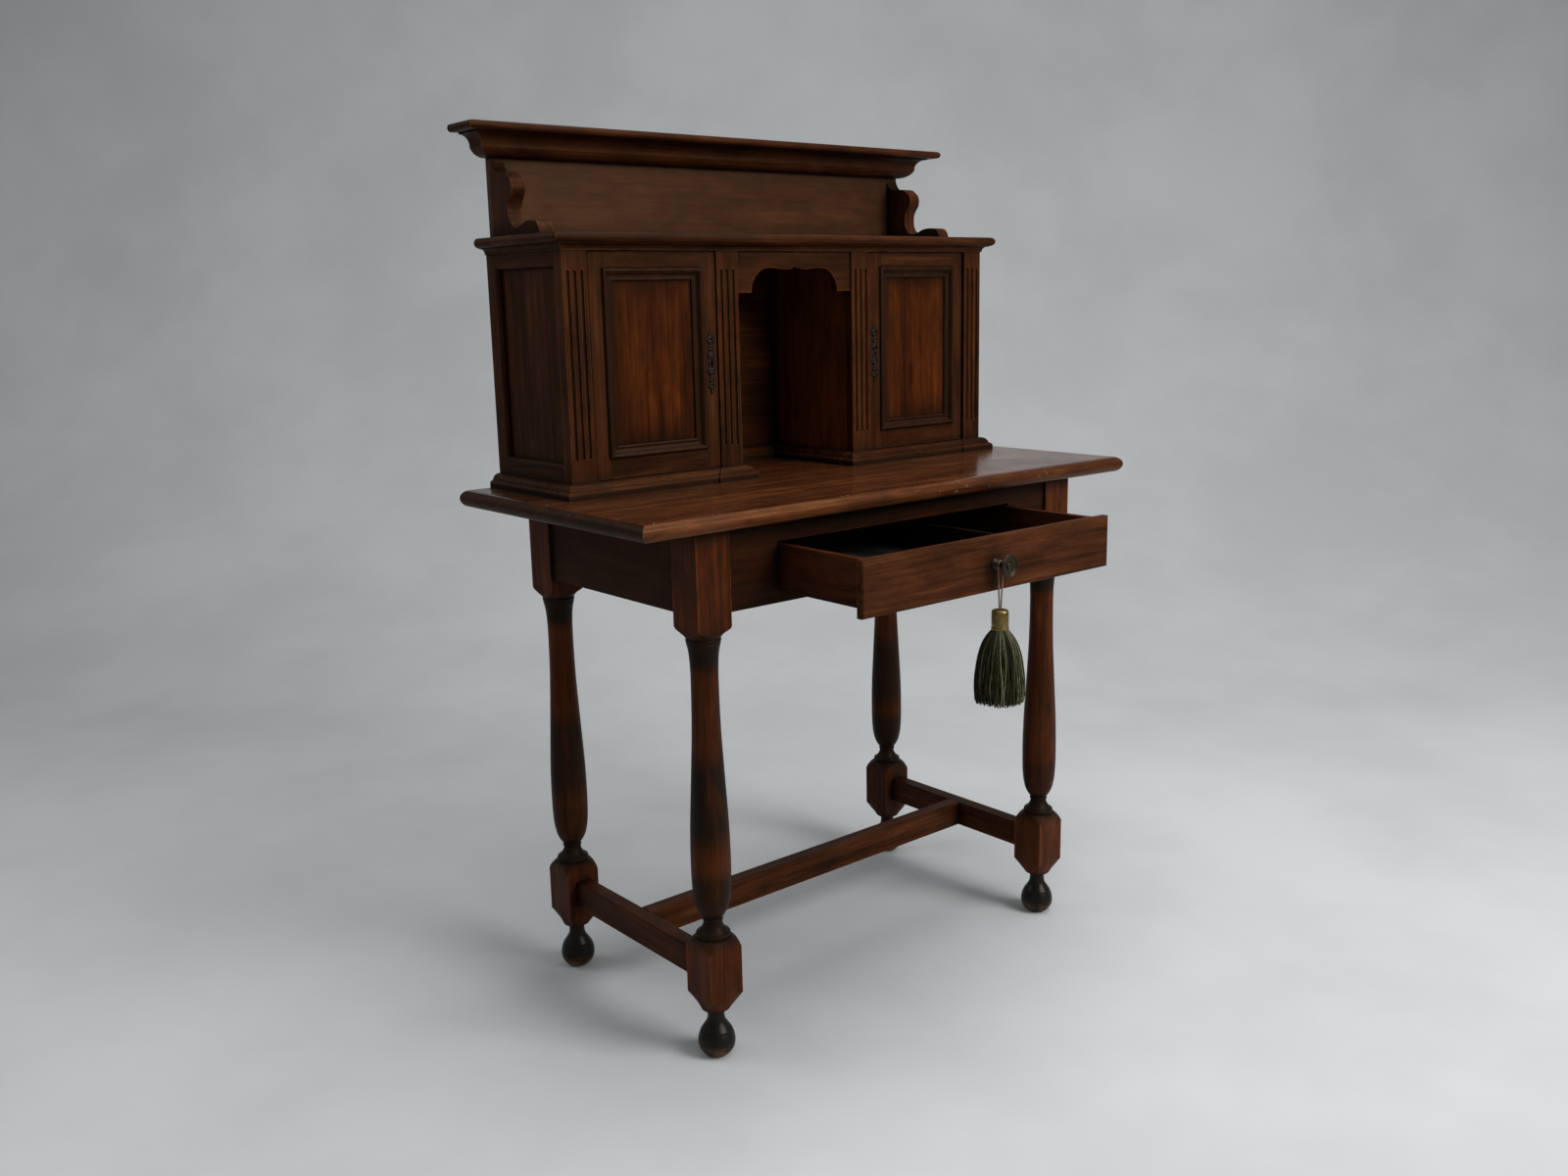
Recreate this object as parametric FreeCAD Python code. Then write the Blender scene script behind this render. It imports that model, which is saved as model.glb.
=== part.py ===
import FreeCAD, Part
import math
import os

from FreeCAD import Vector

# Millimetres, +Z up, the front looks along -Y, the drawer stands open at rest.

# Writing board
board_width = 930.0
board_depth = 464.0
board_thickness = 24.0
writing_height = 760.0
board_edge_radius = 9.0

# Legs: square blocks with turned lengths between them
leg_block_size = 54.0
leg_side_overhang = 99.0
leg_front_overhang = 31.0
leg_rear_overhang = 19.0
foot_pad_diameter = 33.0
foot_ball_height = 30.0
foot_top_diameter = 44.0
foot_neck_diameter = 22.0
foot_neck_height = 57.0
foot_height = 64.0
lower_block_height = 112.0
lower_shoulder_height = 29.0
upper_shoulder_height = 16.0
ring_diameter = 47.0
ring_height = 7.0
bell_diameter = 40.0
bell_height = 15.0
waist_diameter = 24.5
fillet_diameter = 28.0
fillet_height = 5.0
swell_diameter = 54.0
collar_diameter = 47.0
collar_height = 8.0
top_block_height = 143.0
top_shoulder_height = 14.0
turning_hollow = 3.0

# Half outline of the shaft, in shares of the swell and the height; a pair of points makes an arc
shaft_shares = ((0.0, 0.0), (0.46, 0.0), (0.68, 0.03), (0.86, 0.075), (0.96, 0.135), (1.0, 0.2),
                (1.0, 0.264), ((0.79, 0.55), (0.655, 0.86)), ((0.705, 0.955), (0.84, 1.0)), (0.0, 1.0))

# Aprons
apron_height = 112.0
apron_thickness = 22.0
apron_setback = 5.0
apron_end_width = 83.0
tenon_length = 20.0
tenon_thickness = 8.0
tenon_shoulder = 6.0

# Stretchers
stretcher_height = 40.0
stretcher_thickness = 26.0
stretcher_lift = 108.0
stretcher_edge_radius = 3.0

# Drawer
drawer_pull = 166.6
drawer_length = 340.0
drawer_height = 63.0
drawer_side_thickness = 10.0
drawer_back_thickness = 10.0
drawer_back_drop = 8.0
drawer_bottom_thickness = 5.0
drawer_bottom_lift = 5.0
drawer_groove_depth = 4.0
lining_thickness = 1.2
front_thickness = 21.0
lip_thickness = 11.0
lip_side_reach = 14.0
lip_bottom_reach = 9.0
lip_top_reach = 2.0
lip_edge_radius = 3.0
divider_share = 0.35
divider_thickness = 8.0
divider_drop = 13.0
slide_gap = 0.3
drawer_side_gap = 1.0
drawer_head_gap = 3.5
runner_width = 34.0
runner_thickness = 16.0
guide_width = 10.0
guide_height = 22.0

# Drawer knob
knob_reach = 26.0
knob_diameter = 31.0
knob_rim = 2.4
knob_dish_depth = 2.6
knob_disc_thickness = 6.0
knob_boss_diameter = 7.0
knob_boss_height = 1.4
knob_neck_diameter = 7.0
knob_flange_diameter = 16.0
knob_flange_thickness = 2.5
knob_shank_diameter = 6.0
knob_shank_length = 14.0

# Tassel hung over the neck of the knob
cord_diameter = 2.2
cord_sides = 8
cord_neck_gap = 0.3
cord_spread = 3.0
cord_drop = 60.5
cord_standoff = 9.0
cap_diameter = 24.0
cap_height = 28.0
cap_edge = 3.5
skirt_diameter = 66.0
skirt_height = 101.0

# Half outline of the skirt, in shares of its girth and drop
skirt_shares = ((0.0, 0.0), (0.34, 0.0), (0.74, 0.12), (1.0, 0.56), (1.0, 1.0), (0.0, 1.0))

# Cabinet
cabinet_side_margin = 62.0
cabinet_setback = 254.0
cabinet_rear_margin = 9.0
cabinet_height = 308.0
plinth_height = 20.0
plinth_reach = 17.0
niche_width = 223.0
partition_thickness = 15.0
back_thickness = 8.0
side_thickness = 18.0
side_front_stile = 3.0
side_rear_stile = 22.0
side_top_rail = 15.0
side_bottom_rail = 20.0
side_bead = 6.0
side_panel_thickness = 7.0
side_panel_depth = 8.0

# Plinth section, in shares of its reach and height; a pair of points makes an arc
plinth_section_shares = ((0.0, 0.0), (1.0, 0.0), (1.0, 0.3), ((0.912, 0.48), (0.7, 0.555)),
                         (0.7, 0.6), ((0.53, 0.86), (0.12, 1.0)), (0.0, 1.0))

# Pilasters
pilaster_width = 38.0
pilaster_thickness = 16.0
pilaster_proud = 3.0
flute_count = 3
flute_width = 5.4
flute_pitch = 10.8
flute_bottom_margin = 32.0
flute_top_margin = 26.0

# Rail over the niche, its shaped half in shares of the half width and the height
niche_rail_height = 59.0
niche_rail_thickness = 12.0
niche_rail_setback = 3.0
niche_rail_shares = ((0.0, 1.0), (1.0, 1.0), (1.0, 0.0), (0.755, 0.0), ((0.69, 0.36), (0.53, 0.58)),
                     ((0.36, 0.588), (0.19, 0.546)), ((0.08, 0.573), (0.0, 0.629)))

# Doors
door_thickness = 20.0
door_side_gap = 1.0
door_end_gap = 1.0
door_stile = 26.5
door_top_rail = 25.5
door_bottom_rail = 31.0
moulding_width = 17.0
moulding_lap = 3.5
moulding_rise = 4.0
panel_depth = 5.0
panel_thickness = 8.0
pivot_inset = 4.0
pivot_pin_diameter = 4.0
pivot_pin_length = 7.0
pivot_stud_diameter = 7.0
pivot_end_gap = 0.2
pivot_fit = 0.06

# Door moulding section, in shares of its width and of its rise or, below the frame, the panel's depth
moulding_section_shares = ((0.0, 0.0), (0.0, 0.3), ((0.18, 1.0), (0.38, 0.4)), (0.41, 0.4),
                           ((0.52, -0.3), (0.78, -0.5)), ((0.92, -0.35), (1.0, -1.0)))

# Door locks and escutcheons
escutcheon_height = 90.0
escutcheon_width = 17.0
escutcheon_thickness = 1.6
escutcheon_lift = 106.0
keyhole_rise = 44.0
keyhole_diameter = 4.4
keyhole_slot_width = 2.2
keyhole_slot_drop = 6.0
lock_width = 18.0
lock_height = 36.0
lock_thickness = 7.5
lock_edge = 3.0
bolt_height = 9.0
bolt_thickness = 3.6
bolt_length = 14.0
bolt_gap = 0.3

# Half outline of an escutcheon, in shares of its half width and height; a pair of points makes an arc
escutcheon_shares = ((0.0, 0.0), (0.3, 0.01), (0.42, 0.04), (0.24, 0.075), ((0.86, 0.13), (0.36, 0.185)),
                     (0.62, 0.25), (0.42, 0.31), (0.66, 0.4), (0.72, 0.5), (0.66, 0.6), (0.42, 0.67),
                     (0.6, 0.73), (0.34, 0.79), ((1.0, 0.865), (0.42, 0.92)), (0.4, 0.97), (0.0, 1.0))

# Moulded board on the cabinet, its edge in shares of its reach and thickness
top_board_thickness = 23.0
top_board_reach = 18.0
top_board_section_shares = ((0.0, 0.0), (0.12, 0.0), ((0.22, 0.26), (0.6, 0.36)), (0.6, 0.4),
                            ((1.0, 0.7), (0.62, 1.0)), (0.0, 1.0))

# Crown
crown_side_margin = 8.0
crown_panel_thickness = 11.0
crown_height = 151.0

# Cornice, its section in shares of its reach and height
cornice_height = 42.5
cornice_reach = 55.0
cornice_section_shares = ((0.0, 0.0), (0.05, 0.0), ((0.3, 0.11), (0.42, 0.3)), (0.42, 0.36),
                          ((0.5, 0.6), (0.67, 0.7)), (0.7, 0.7), (0.7, 0.75), (0.87, 0.75),
                          ((1.0, 0.87), (0.93, 1.0)), (0.0, 1.0))

# Brackets, their outline in shares of the reach and of the height under the cornice
bracket_thickness = 22.0
bracket_reach = 126.0
bracket_shares = ((0.0, 0.0), (1.0, 0.0), ((0.985, 0.08), (0.93, 0.16)), ((0.8, 0.178), (0.66, 0.155)),
                  ((0.57, 0.118), (0.487, 0.105)), ((0.405, 0.15), (0.353, 0.3)),
                  ((0.36, 0.4), (0.42, 0.507)), ((0.452, 0.62), (0.373, 0.751)),
                  ((0.33, 0.785), (0.27, 0.8)), (0.083, 0.815), ((0.028, 0.885), (0.0, 0.97)))

# One overrun serves every cut, and points closer than a touch are one
overrun = 30.0
touch = 0.0001

# Levels
board_bottom_z = writing_height - board_thickness
apron_bottom_z = board_bottom_z - apron_height
plinth_top_z = writing_height + plinth_height
cabinet_top_z = plinth_top_z + cabinet_height
crown_bottom_z = cabinet_top_z + top_board_thickness
crown_top_z = crown_bottom_z + crown_height
cornice_bottom_z = crown_top_z - cornice_height
lower_block_top_z = foot_height + lower_block_height
ring_top_z = lower_block_top_z + ring_height
waist_z = ring_top_z + bell_height
shaft_bottom_z = waist_z + fillet_height
top_block_z = board_bottom_z - top_block_height
shaft_top_z = top_block_z - collar_height
stretcher_top_z = stretcher_lift + stretcher_height

# Depths, with the middle of the whole desk at zero
front_reach = drawer_pull + lip_thickness + knob_reach - leg_front_overhang - apron_setback
board_back_y = (board_depth + front_reach) / 2
board_front_y = board_back_y - board_depth
leg_front_y = board_front_y + leg_front_overhang
leg_back_y = board_back_y - leg_rear_overhang
leg_front_centre_y = leg_front_y + leg_block_size / 2
leg_back_centre_y = leg_back_y - leg_block_size / 2
legs_middle_y = (leg_front_y + leg_back_y) / 2
apron_front_y = leg_front_y + apron_setback
apron_back_y = leg_back_y - apron_setback
cabinet_front_y = board_front_y + cabinet_setback
cabinet_back_y = board_back_y - cabinet_rear_margin
back_board_y = cabinet_back_y - back_thickness
pilaster_back_y = cabinet_front_y + pilaster_thickness
door_front_y = cabinet_front_y + pilaster_proud
door_back_y = door_front_y + door_thickness
crown_front_y = cabinet_back_y - crown_panel_thickness

# Widths from the middle
board_end_x = board_width / 2
leg_outer_x = board_end_x - leg_side_overhang
leg_inner_x = leg_outer_x - leg_block_size
leg_centre_x = leg_outer_x - leg_block_size / 2
apron_outer_x = leg_outer_x - apron_setback
stretcher_inner_x = leg_centre_x - stretcher_thickness / 2
cabinet_end_x = board_end_x - cabinet_side_margin
niche_x = niche_width / 2
outer_pilaster_x = cabinet_end_x - pilaster_width
inner_pilaster_x = niche_x + pilaster_width
crown_end_x = cabinet_end_x - crown_side_margin

# Drawer levels and depths
lower_rail_z = apron_bottom_z + runner_thickness
drawer_bottom_z = lower_rail_z + slide_gap
drawer_top_z = drawer_bottom_z + drawer_height
upper_rail_z = drawer_top_z + drawer_head_gap
opening_half = leg_inner_x - apron_end_width
drawer_half = opening_half - drawer_side_gap
drawer_inner_x = drawer_half - drawer_side_thickness
divider_x = drawer_half * divider_share
lip_back_y = apron_front_y - drawer_pull
drawer_face_y = lip_back_y - lip_thickness
drawer_inside_y = drawer_face_y + front_thickness
drawer_rear_y = drawer_inside_y + drawer_length
floor_bottom_z = drawer_bottom_z + drawer_bottom_lift
floor_top_z = floor_bottom_z + drawer_bottom_thickness
lining_top_z = floor_top_z + lining_thickness
knob_z = (drawer_bottom_z - lip_bottom_reach + drawer_top_z + lip_top_reach) / 2


def block(x_low, x_high, y_low, y_high, z_low, z_high):
    return Part.makeBox(x_high - x_low, y_high - y_low, z_high - z_low, Vector(x_low, y_low, z_low))


def mirrored(shape):
    return shape.mirror(Vector(0, 0, 0), Vector(1, 0, 0))


def pen(start, *strokes):
    # A stroke is a point for a straight edge, or a pair for an arc through the first to the second.
    edges = []
    here = start
    for stroke in strokes + (start,):
        if isinstance(stroke, tuple):
            through, end = stroke
            edges.append(Part.Arc(here, through, end).toShape())
        else:
            end = stroke
            if (end - here).Length > touch:
                edges.append(Part.LineSegment(here, end).toShape())
        here = end
    return Part.Wire(edges)


def ball_middle(start_diameter, start_level, end_diameter, end_level):
    # Diameter and level halfway along an arc about the axis of turning, as on a ball
    middle = (start_level + end_level) / 2
    centre = middle + (end_diameter ** 2 - start_diameter ** 2) / (end_level - start_level) / 8
    ball_radius = math.hypot(start_diameter / 2, start_level - centre)
    return math.sqrt(ball_radius ** 2 - (middle - centre) ** 2) * 2, middle


def strokes_of(shares, place):
    strokes = []
    for share in shares:
        if isinstance(share[0], tuple):
            strokes.append((place(*share[0]), place(*share[1])))
        else:
            strokes.append(place(*share))
    return strokes


def prism(wire, direction):
    return Part.Face(wire).extrude(direction)


def turned(wire, centre, axis):
    return Part.Face(wire).revolve(centre, axis, 360)


def straight(start, end):
    return Part.LineSegment(start, end).toShape()


def moulded_run(corners, section_shares, reach, height):
    # The section stands out to the right of the way along the corners.
    way = Part.Wire([straight(a, b) for a, b in zip(corners, corners[1:])])
    along = (corners[1] - corners[0]).normalize()
    out = Vector(along.y, -along.x, 0)

    def place(reach_share, height_share):
        return corners[0] + out * (reach * reach_share) + Vector(0, 0, height * height_share)

    section = pen(*strokes_of(section_shares, place))
    return way.makePipeShell([section], True, False, 1)


def rounded(shape, radius, chosen):
    return shape.makeFillet(radius, [edge for edge in shape.Edges if chosen(edge)])


def save(name, shape):
    whole = shape.removeSplitter()
    if len(whole.Solids) == 1:
        whole = whole.Solids[0]
    whole.exportStep("parts/" + name + ".step")
    print(name, len(whole.Solids), whole.isValid(), round(whole.Volume))


def save_pair(name, right_shape):
    save(name + "_right", right_shape)
    save(name + "_left", mirrored(right_shape))


os.makedirs("parts", exist_ok=True)

# Aprons, tenoned into the leg blocks


def tenon_across(x_low, x_high, middle_y, z_low, z_high):
    return block(x_low, x_high, middle_y - tenon_thickness / 2, middle_y + tenon_thickness / 2,
                 z_low + tenon_shoulder, z_high - tenon_shoulder)


def tenon_along(middle_x, y_low, y_high, z_low, z_high):
    return block(middle_x - tenon_thickness / 2, middle_x + tenon_thickness / 2, y_low, y_high,
                 z_low + tenon_shoulder, z_high - tenon_shoulder)


tenon_end_x = leg_inner_x + tenon_length
apron_span = block(-leg_inner_x, leg_inner_x, apron_front_y, apron_front_y + apron_thickness,
                   apron_bottom_z, board_bottom_z)
drawer_opening = block(-opening_half, opening_half, apron_front_y - overrun,
                       apron_front_y + apron_thickness + overrun, lower_rail_z, upper_rail_z)
front_middle_y = apron_front_y + apron_thickness / 2
front_tenon = tenon_across(leg_inner_x, tenon_end_x, front_middle_y, apron_bottom_z, board_bottom_z)
apron_front = apron_span.cut(drawer_opening).multiFuse([front_tenon, mirrored(front_tenon)])

back_middle_y = apron_back_y - apron_thickness / 2
apron_back = block(-leg_inner_x, leg_inner_x, apron_back_y - apron_thickness, apron_back_y,
                   apron_bottom_z, board_bottom_z)
back_tenon = tenon_across(leg_inner_x, tenon_end_x, back_middle_y, apron_bottom_z, board_bottom_z)
apron_back = apron_back.multiFuse([back_tenon, mirrored(back_tenon)])

side_start_y = leg_front_y + leg_block_size
side_end_y = leg_back_y - leg_block_size
side_middle_x = apron_outer_x - apron_thickness / 2
apron_right = block(apron_outer_x - apron_thickness, apron_outer_x, side_start_y, side_end_y,
                    apron_bottom_z, board_bottom_z)
side_tenon = tenon_along(side_middle_x, side_start_y - tenon_length, side_end_y + tenon_length,
                         apron_bottom_z, board_bottom_z)
apron_right = apron_right.fuse(side_tenon)

# Stretchers, with eased upper edges


def eased_bar(bar):
    def upper_long(edge):
        level = edge.BoundBox.ZMin > stretcher_lift + stretcher_height / 2
        return level and edge.Length > stretcher_thickness * 2
    return rounded(bar, stretcher_edge_radius, upper_long)


middle_bar = eased_bar(block(-stretcher_inner_x, stretcher_inner_x,
                             legs_middle_y - stretcher_thickness / 2,
                             legs_middle_y + stretcher_thickness / 2, stretcher_lift, stretcher_top_z))
middle_tenon = tenon_across(-stretcher_inner_x - stretcher_thickness / 2,
                            stretcher_inner_x + stretcher_thickness / 2,
                            legs_middle_y, stretcher_lift, stretcher_top_z)
stretcher_middle = middle_bar.fuse(middle_tenon)
side_bar = eased_bar(block(stretcher_inner_x, stretcher_inner_x + stretcher_thickness, side_start_y,
                           side_end_y, stretcher_lift, stretcher_top_z))
bar_tenon = tenon_along(leg_centre_x, side_start_y - tenon_length, side_end_y + tenon_length,
                        stretcher_lift, stretcher_top_z)
stretcher_right = side_bar.fuse(bar_tenon).cut(middle_tenon)

# Legs: a ball foot, a square block, a swelling shaft and a tall top block

leg_corner_diameter = leg_block_size * math.sqrt(2)
lower_corner_z = foot_height + lower_shoulder_height
upper_corner_z = lower_block_top_z - upper_shoulder_height
top_corner_z = top_block_z + top_shoulder_height


def leg(x, y):
    def axis_at(z):
        return Vector(x, y, z)

    def at(diameter, z):
        return Vector(x + diameter / 2, y, z)

    def square(z_low, z_high):
        return block(x - leg_block_size / 2, x + leg_block_size / 2, y - leg_block_size / 2,
                     y + leg_block_size / 2, z_low, z_high)

    def spun(wire):
        return turned(wire, axis_at(0), Vector(0, 0, 1))

    def ball_to(start_diameter, start_z, end_diameter, end_z):
        return at(*ball_middle(start_diameter, start_z, end_diameter, end_z)), at(end_diameter, end_z)

    def shaft_place(girth_share, height_share):
        rise = (shaft_top_z - shaft_bottom_z) * height_share
        return at(swell_diameter * girth_share, shaft_bottom_z + rise)

    foot = spun(pen(
        axis_at(0), at(foot_pad_diameter, 0),
        ball_to(foot_pad_diameter, 0, foot_top_diameter, foot_ball_height),
        at(foot_neck_diameter, foot_neck_height), at(foot_neck_diameter, foot_height), axis_at(foot_height)))
    lower_shape = spun(pen(
        axis_at(foot_height), at(foot_neck_diameter, foot_height),
        ball_to(foot_neck_diameter, foot_height, leg_corner_diameter, lower_corner_z),
        at(leg_corner_diameter, upper_corner_z),
        ball_to(leg_corner_diameter, upper_corner_z, ring_diameter, lower_block_top_z),
        axis_at(lower_block_top_z)))
    lower_block = square(foot_height, lower_block_top_z).common(lower_shape)
    rings = spun(pen(
        axis_at(lower_block_top_z), at(ring_diameter, lower_block_top_z), at(ring_diameter, ring_top_z),
        at(bell_diameter, ring_top_z),
        (at((bell_diameter + waist_diameter) / 2 - turning_hollow, ring_top_z + bell_height / 2),
         at(waist_diameter, waist_z)),
        at(fillet_diameter, waist_z), at(fillet_diameter, shaft_bottom_z), axis_at(shaft_bottom_z)))
    shaft = spun(pen(*strokes_of(shaft_shares, shaft_place)))
    collar = spun(pen(
        axis_at(shaft_top_z), at(collar_diameter, shaft_top_z), at(collar_diameter, top_block_z),
        axis_at(top_block_z)))
    top_shape = spun(pen(
        axis_at(top_block_z), at(collar_diameter, top_block_z),
        ball_to(collar_diameter, top_block_z, leg_corner_diameter, top_corner_z),
        at(leg_corner_diameter, board_bottom_z), axis_at(board_bottom_z)))
    top_block = square(top_block_z, board_bottom_z).common(top_shape)
    return foot.multiFuse([lower_block, rings, shaft, collar, top_block])


joints = [apron_front, apron_back, apron_right, stretcher_right]
leg_front_right = leg(leg_centre_x, leg_front_centre_y).cut(joints)
leg_back_right = leg(leg_centre_x, leg_back_centre_y).cut(joints)
save_pair("leg_front", leg_front_right)
save_pair("leg_back", leg_back_right)
save("apron_front", apron_front)
save("apron_back", apron_back)
save_pair("apron", apron_right)
save_pair("stretcher", stretcher_right)
save("stretcher_middle", stretcher_middle)

# Runners between the front and back aprons, with a guide beside the drawer

guide_outer_x = opening_half + guide_width
runner_start_y = apron_front_y + apron_thickness
runner_end_y = apron_back_y - apron_thickness
runner = block(guide_outer_x - runner_width, guide_outer_x, runner_start_y, runner_end_y,
               apron_bottom_z, lower_rail_z)
guide = block(opening_half, guide_outer_x, runner_start_y, runner_end_y, lower_rail_z,
              lower_rail_z + guide_height)
save_pair("drawer_runner", runner.fuse(guide))

# Writing board with a rounded edge all round

board = block(-board_end_x, board_end_x, board_front_y, board_back_y, board_bottom_z, writing_height)


def level_edge(edge):
    return edge.BoundBox.ZLength < board_thickness / 2


save("writing_board", rounded(board, board_edge_radius, level_edge))

# Drawer

front_bottom_z = drawer_bottom_z - lip_bottom_reach
front_top_z = drawer_top_z + lip_top_reach
front_half = drawer_half + lip_side_reach
lip = block(-front_half, front_half, drawer_face_y, lip_back_y, front_bottom_z, front_top_z)


def face_edge(edge):
    return edge.BoundBox.YMax < drawer_face_y + lip_thickness / 2


lip = rounded(lip, lip_edge_radius, face_edge)
plug = block(-drawer_inner_x, drawer_inner_x, lip_back_y, drawer_inside_y, drawer_bottom_z, drawer_top_z)
drawer_bottom = block(-drawer_inner_x - drawer_groove_depth, drawer_inner_x + drawer_groove_depth,
                      drawer_inside_y - drawer_groove_depth, drawer_rear_y, floor_bottom_z, floor_top_z)
drawer_back_y = drawer_rear_y - drawer_back_thickness
drawer_back = block(-drawer_inner_x, drawer_inner_x, drawer_back_y, drawer_rear_y, floor_top_z,
                    drawer_top_z - drawer_back_drop)
drawer_side = block(drawer_inner_x, drawer_half, lip_back_y, drawer_rear_y, drawer_bottom_z,
                    drawer_top_z).cut(drawer_bottom)
lining = block(-drawer_inner_x, drawer_inner_x, drawer_inside_y, drawer_back_y, floor_top_z, lining_top_z)
divider = block(divider_x - divider_thickness / 2, divider_x + divider_thickness / 2,
                drawer_inside_y, drawer_back_y, lining_top_z, drawer_top_z - divider_drop)


def knob_at(diameter, reach):
    return Vector(diameter / 2, drawer_face_y - reach, knob_z)


disc_back = knob_reach - knob_disc_thickness
rim_inner = knob_diameter - knob_rim * 2
dish_reach = knob_reach - knob_dish_depth
knob_centre = Vector(0, drawer_face_y, knob_z)
knob = turned(pen(
    knob_at(0, -knob_shank_length), knob_at(knob_shank_diameter, -knob_shank_length),
    knob_at(knob_shank_diameter, 0), knob_at(knob_flange_diameter, 0),
    knob_at(knob_flange_diameter, knob_flange_thickness), knob_at(knob_neck_diameter, knob_flange_thickness),
    knob_at(knob_neck_diameter, disc_back), knob_at(knob_diameter, disc_back),
    knob_at(knob_diameter, knob_reach), knob_at(rim_inner, knob_reach),
    knob_at(knob_boss_diameter, dish_reach), knob_at(knob_boss_diameter, dish_reach + knob_boss_height),
    knob_at(0, dish_reach + knob_boss_height)), knob_centre, Vector(0, 1, 0))
save("drawer_front", lip.fuse(plug).cut([knob, drawer_bottom]))
save_pair("drawer_side", drawer_side)
save("drawer_back", drawer_back)
save("drawer_bottom", drawer_bottom)
save("drawer_lining", lining)
save("drawer_divider", divider)
save("drawer_knob", knob)

# Tassel: a cord loop over the neck of the knob, a cap and a skirt

cord_y = drawer_face_y - cord_standoff
cap_top_z = knob_z - cord_drop
cap_bottom_z = cap_top_z - cap_height
loop_radius = (knob_neck_diameter + cord_diameter) / 2 + cord_neck_gap


def loop_point(angle):
    return Vector(loop_radius * math.cos(angle), cord_y, knob_z + loop_radius * math.sin(angle))


strand_end = Vector(cord_spread / 2, cord_y, cap_top_z)
strand_reach = math.hypot(cord_spread / 2, cord_drop)
leave_angle = math.atan2(-cord_drop, cord_spread / 2) + math.acos(loop_radius / strand_reach)
crest_angle = math.pi / 2
leave = loop_point(leave_angle)


def cord_side(turn):
    away = (leave - strand_end).normalize()
    across = away.cross(Vector(0, 1, 0))
    angle = math.pi * (turn * 2 + 1) / cord_sides
    return strand_end + (across * math.cos(angle) + Vector(0, 1, 0) * math.sin(angle)) * (cord_diameter / 2)


cord_section = Part.Face(pen(*[cord_side(turn) for turn in range(cord_sides)]))
cord_wrap = math.degrees(crest_angle - leave_angle) * 2
cord_arc = math.radians(cord_wrap) * loop_radius
cord_run = cord_section.extrude(leave - strand_end)
cord_turn = cord_section.translated(leave - strand_end).revolve(knob_centre, Vector(0, -1, 0), cord_wrap)
cap_seat = block(-cap_diameter, cap_diameter, cord_y - cap_diameter, cord_y + cap_diameter,
                 cap_bottom_z, cap_top_z)
cord_loop = cord_turn.multiFuse([cord_run, mirrored(cord_run)])
cord_length = cord_arc + (leave - strand_end).Length * 2
print("cord radius", round(loop_radius, 3), "length", round(cord_length, 1), "volume",
      round(cord_loop.Volume, 2), "against", round(cord_length * cord_section.Area, 2))


def hung_at(diameter, z):
    return Vector(diameter / 2, cord_y, z)


hang_axis = Vector(0, cord_y, 0)
cap = turned(pen(
    hung_at(0, cap_bottom_z), hung_at(cap_diameter, cap_bottom_z),
    hung_at(cap_diameter, cap_top_z - cap_edge), hung_at(cap_diameter - cap_edge * 2, cap_top_z),
    hung_at(0, cap_top_z)), hang_axis, Vector(0, 0, 1))


def skirt_place(girth_share, drop_share):
    return hung_at(skirt_diameter * girth_share, cap_bottom_z - skirt_height * drop_share)


skirt = turned(pen(*strokes_of(skirt_shares, skirt_place)), hang_axis, Vector(0, 0, 1))
save("tassel_cord", cord_loop.cut(cap_seat))
save("tassel_cap", cap)
save("tassel_skirt", skirt)

# Cabinet: plinths, framed sides, partitions, pilasters and back

cabinet_back = block(side_thickness - cabinet_end_x, cabinet_end_x - side_thickness, back_board_y,
                     cabinet_back_y, writing_height, cabinet_top_z)


def plinth_corner(x, y):
    return Vector(x, y, writing_height)


plinth_way = [plinth_corner(niche_x, back_board_y), plinth_corner(niche_x, cabinet_front_y),
              plinth_corner(inner_pilaster_x, cabinet_front_y),
              plinth_corner(inner_pilaster_x, door_front_y),
              plinth_corner(outer_pilaster_x, door_front_y),
              plinth_corner(outer_pilaster_x, cabinet_front_y),
              plinth_corner(cabinet_end_x, cabinet_front_y),
              plinth_corner(cabinet_end_x, cabinet_back_y)]
plinth_edge = moulded_run(plinth_way, plinth_section_shares, plinth_reach, plinth_height)
plinth_core = prism(pen(*plinth_way, plinth_corner(niche_x, cabinet_back_y)), Vector(0, 0, plinth_height))
plinth_right = plinth_core.fuse(plinth_edge).cut(cabinet_back)
niche_run = moulded_run([plinth_corner(-niche_x, back_board_y), plinth_corner(niche_x, back_board_y)],
                        plinth_section_shares, plinth_reach, plinth_height)
plinth_niche = niche_run.cut([plinth_right, mirrored(plinth_right)])

side_inner_x = cabinet_end_x - side_thickness
panel_start_y = pilaster_back_y + side_front_stile + side_bead
panel_end_y = cabinet_back_y - side_rear_stile - side_bead
panel_bottom_z = plinth_top_z + side_bottom_rail + side_bead
panel_top_z = cabinet_top_z - side_top_rail - side_bead
side_window = block(side_inner_x - overrun, cabinet_end_x + overrun, panel_start_y, panel_end_y,
                    panel_bottom_z, panel_top_z)
side_frame = block(side_inner_x, cabinet_end_x, pilaster_back_y, cabinet_back_y, plinth_top_z, cabinet_top_z)
side_frame = side_frame.cut(side_window)


def window_rim(edge):
    box = edge.BoundBox
    outside = box.XMin > cabinet_end_x - side_bead / 2
    within = box.YMin > panel_start_y - side_bead / 2 and box.YMax < panel_end_y + side_bead / 2
    between = box.ZMin > panel_bottom_z - side_bead / 2 and box.ZMax < panel_top_z + side_bead / 2
    return outside and within and between


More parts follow.
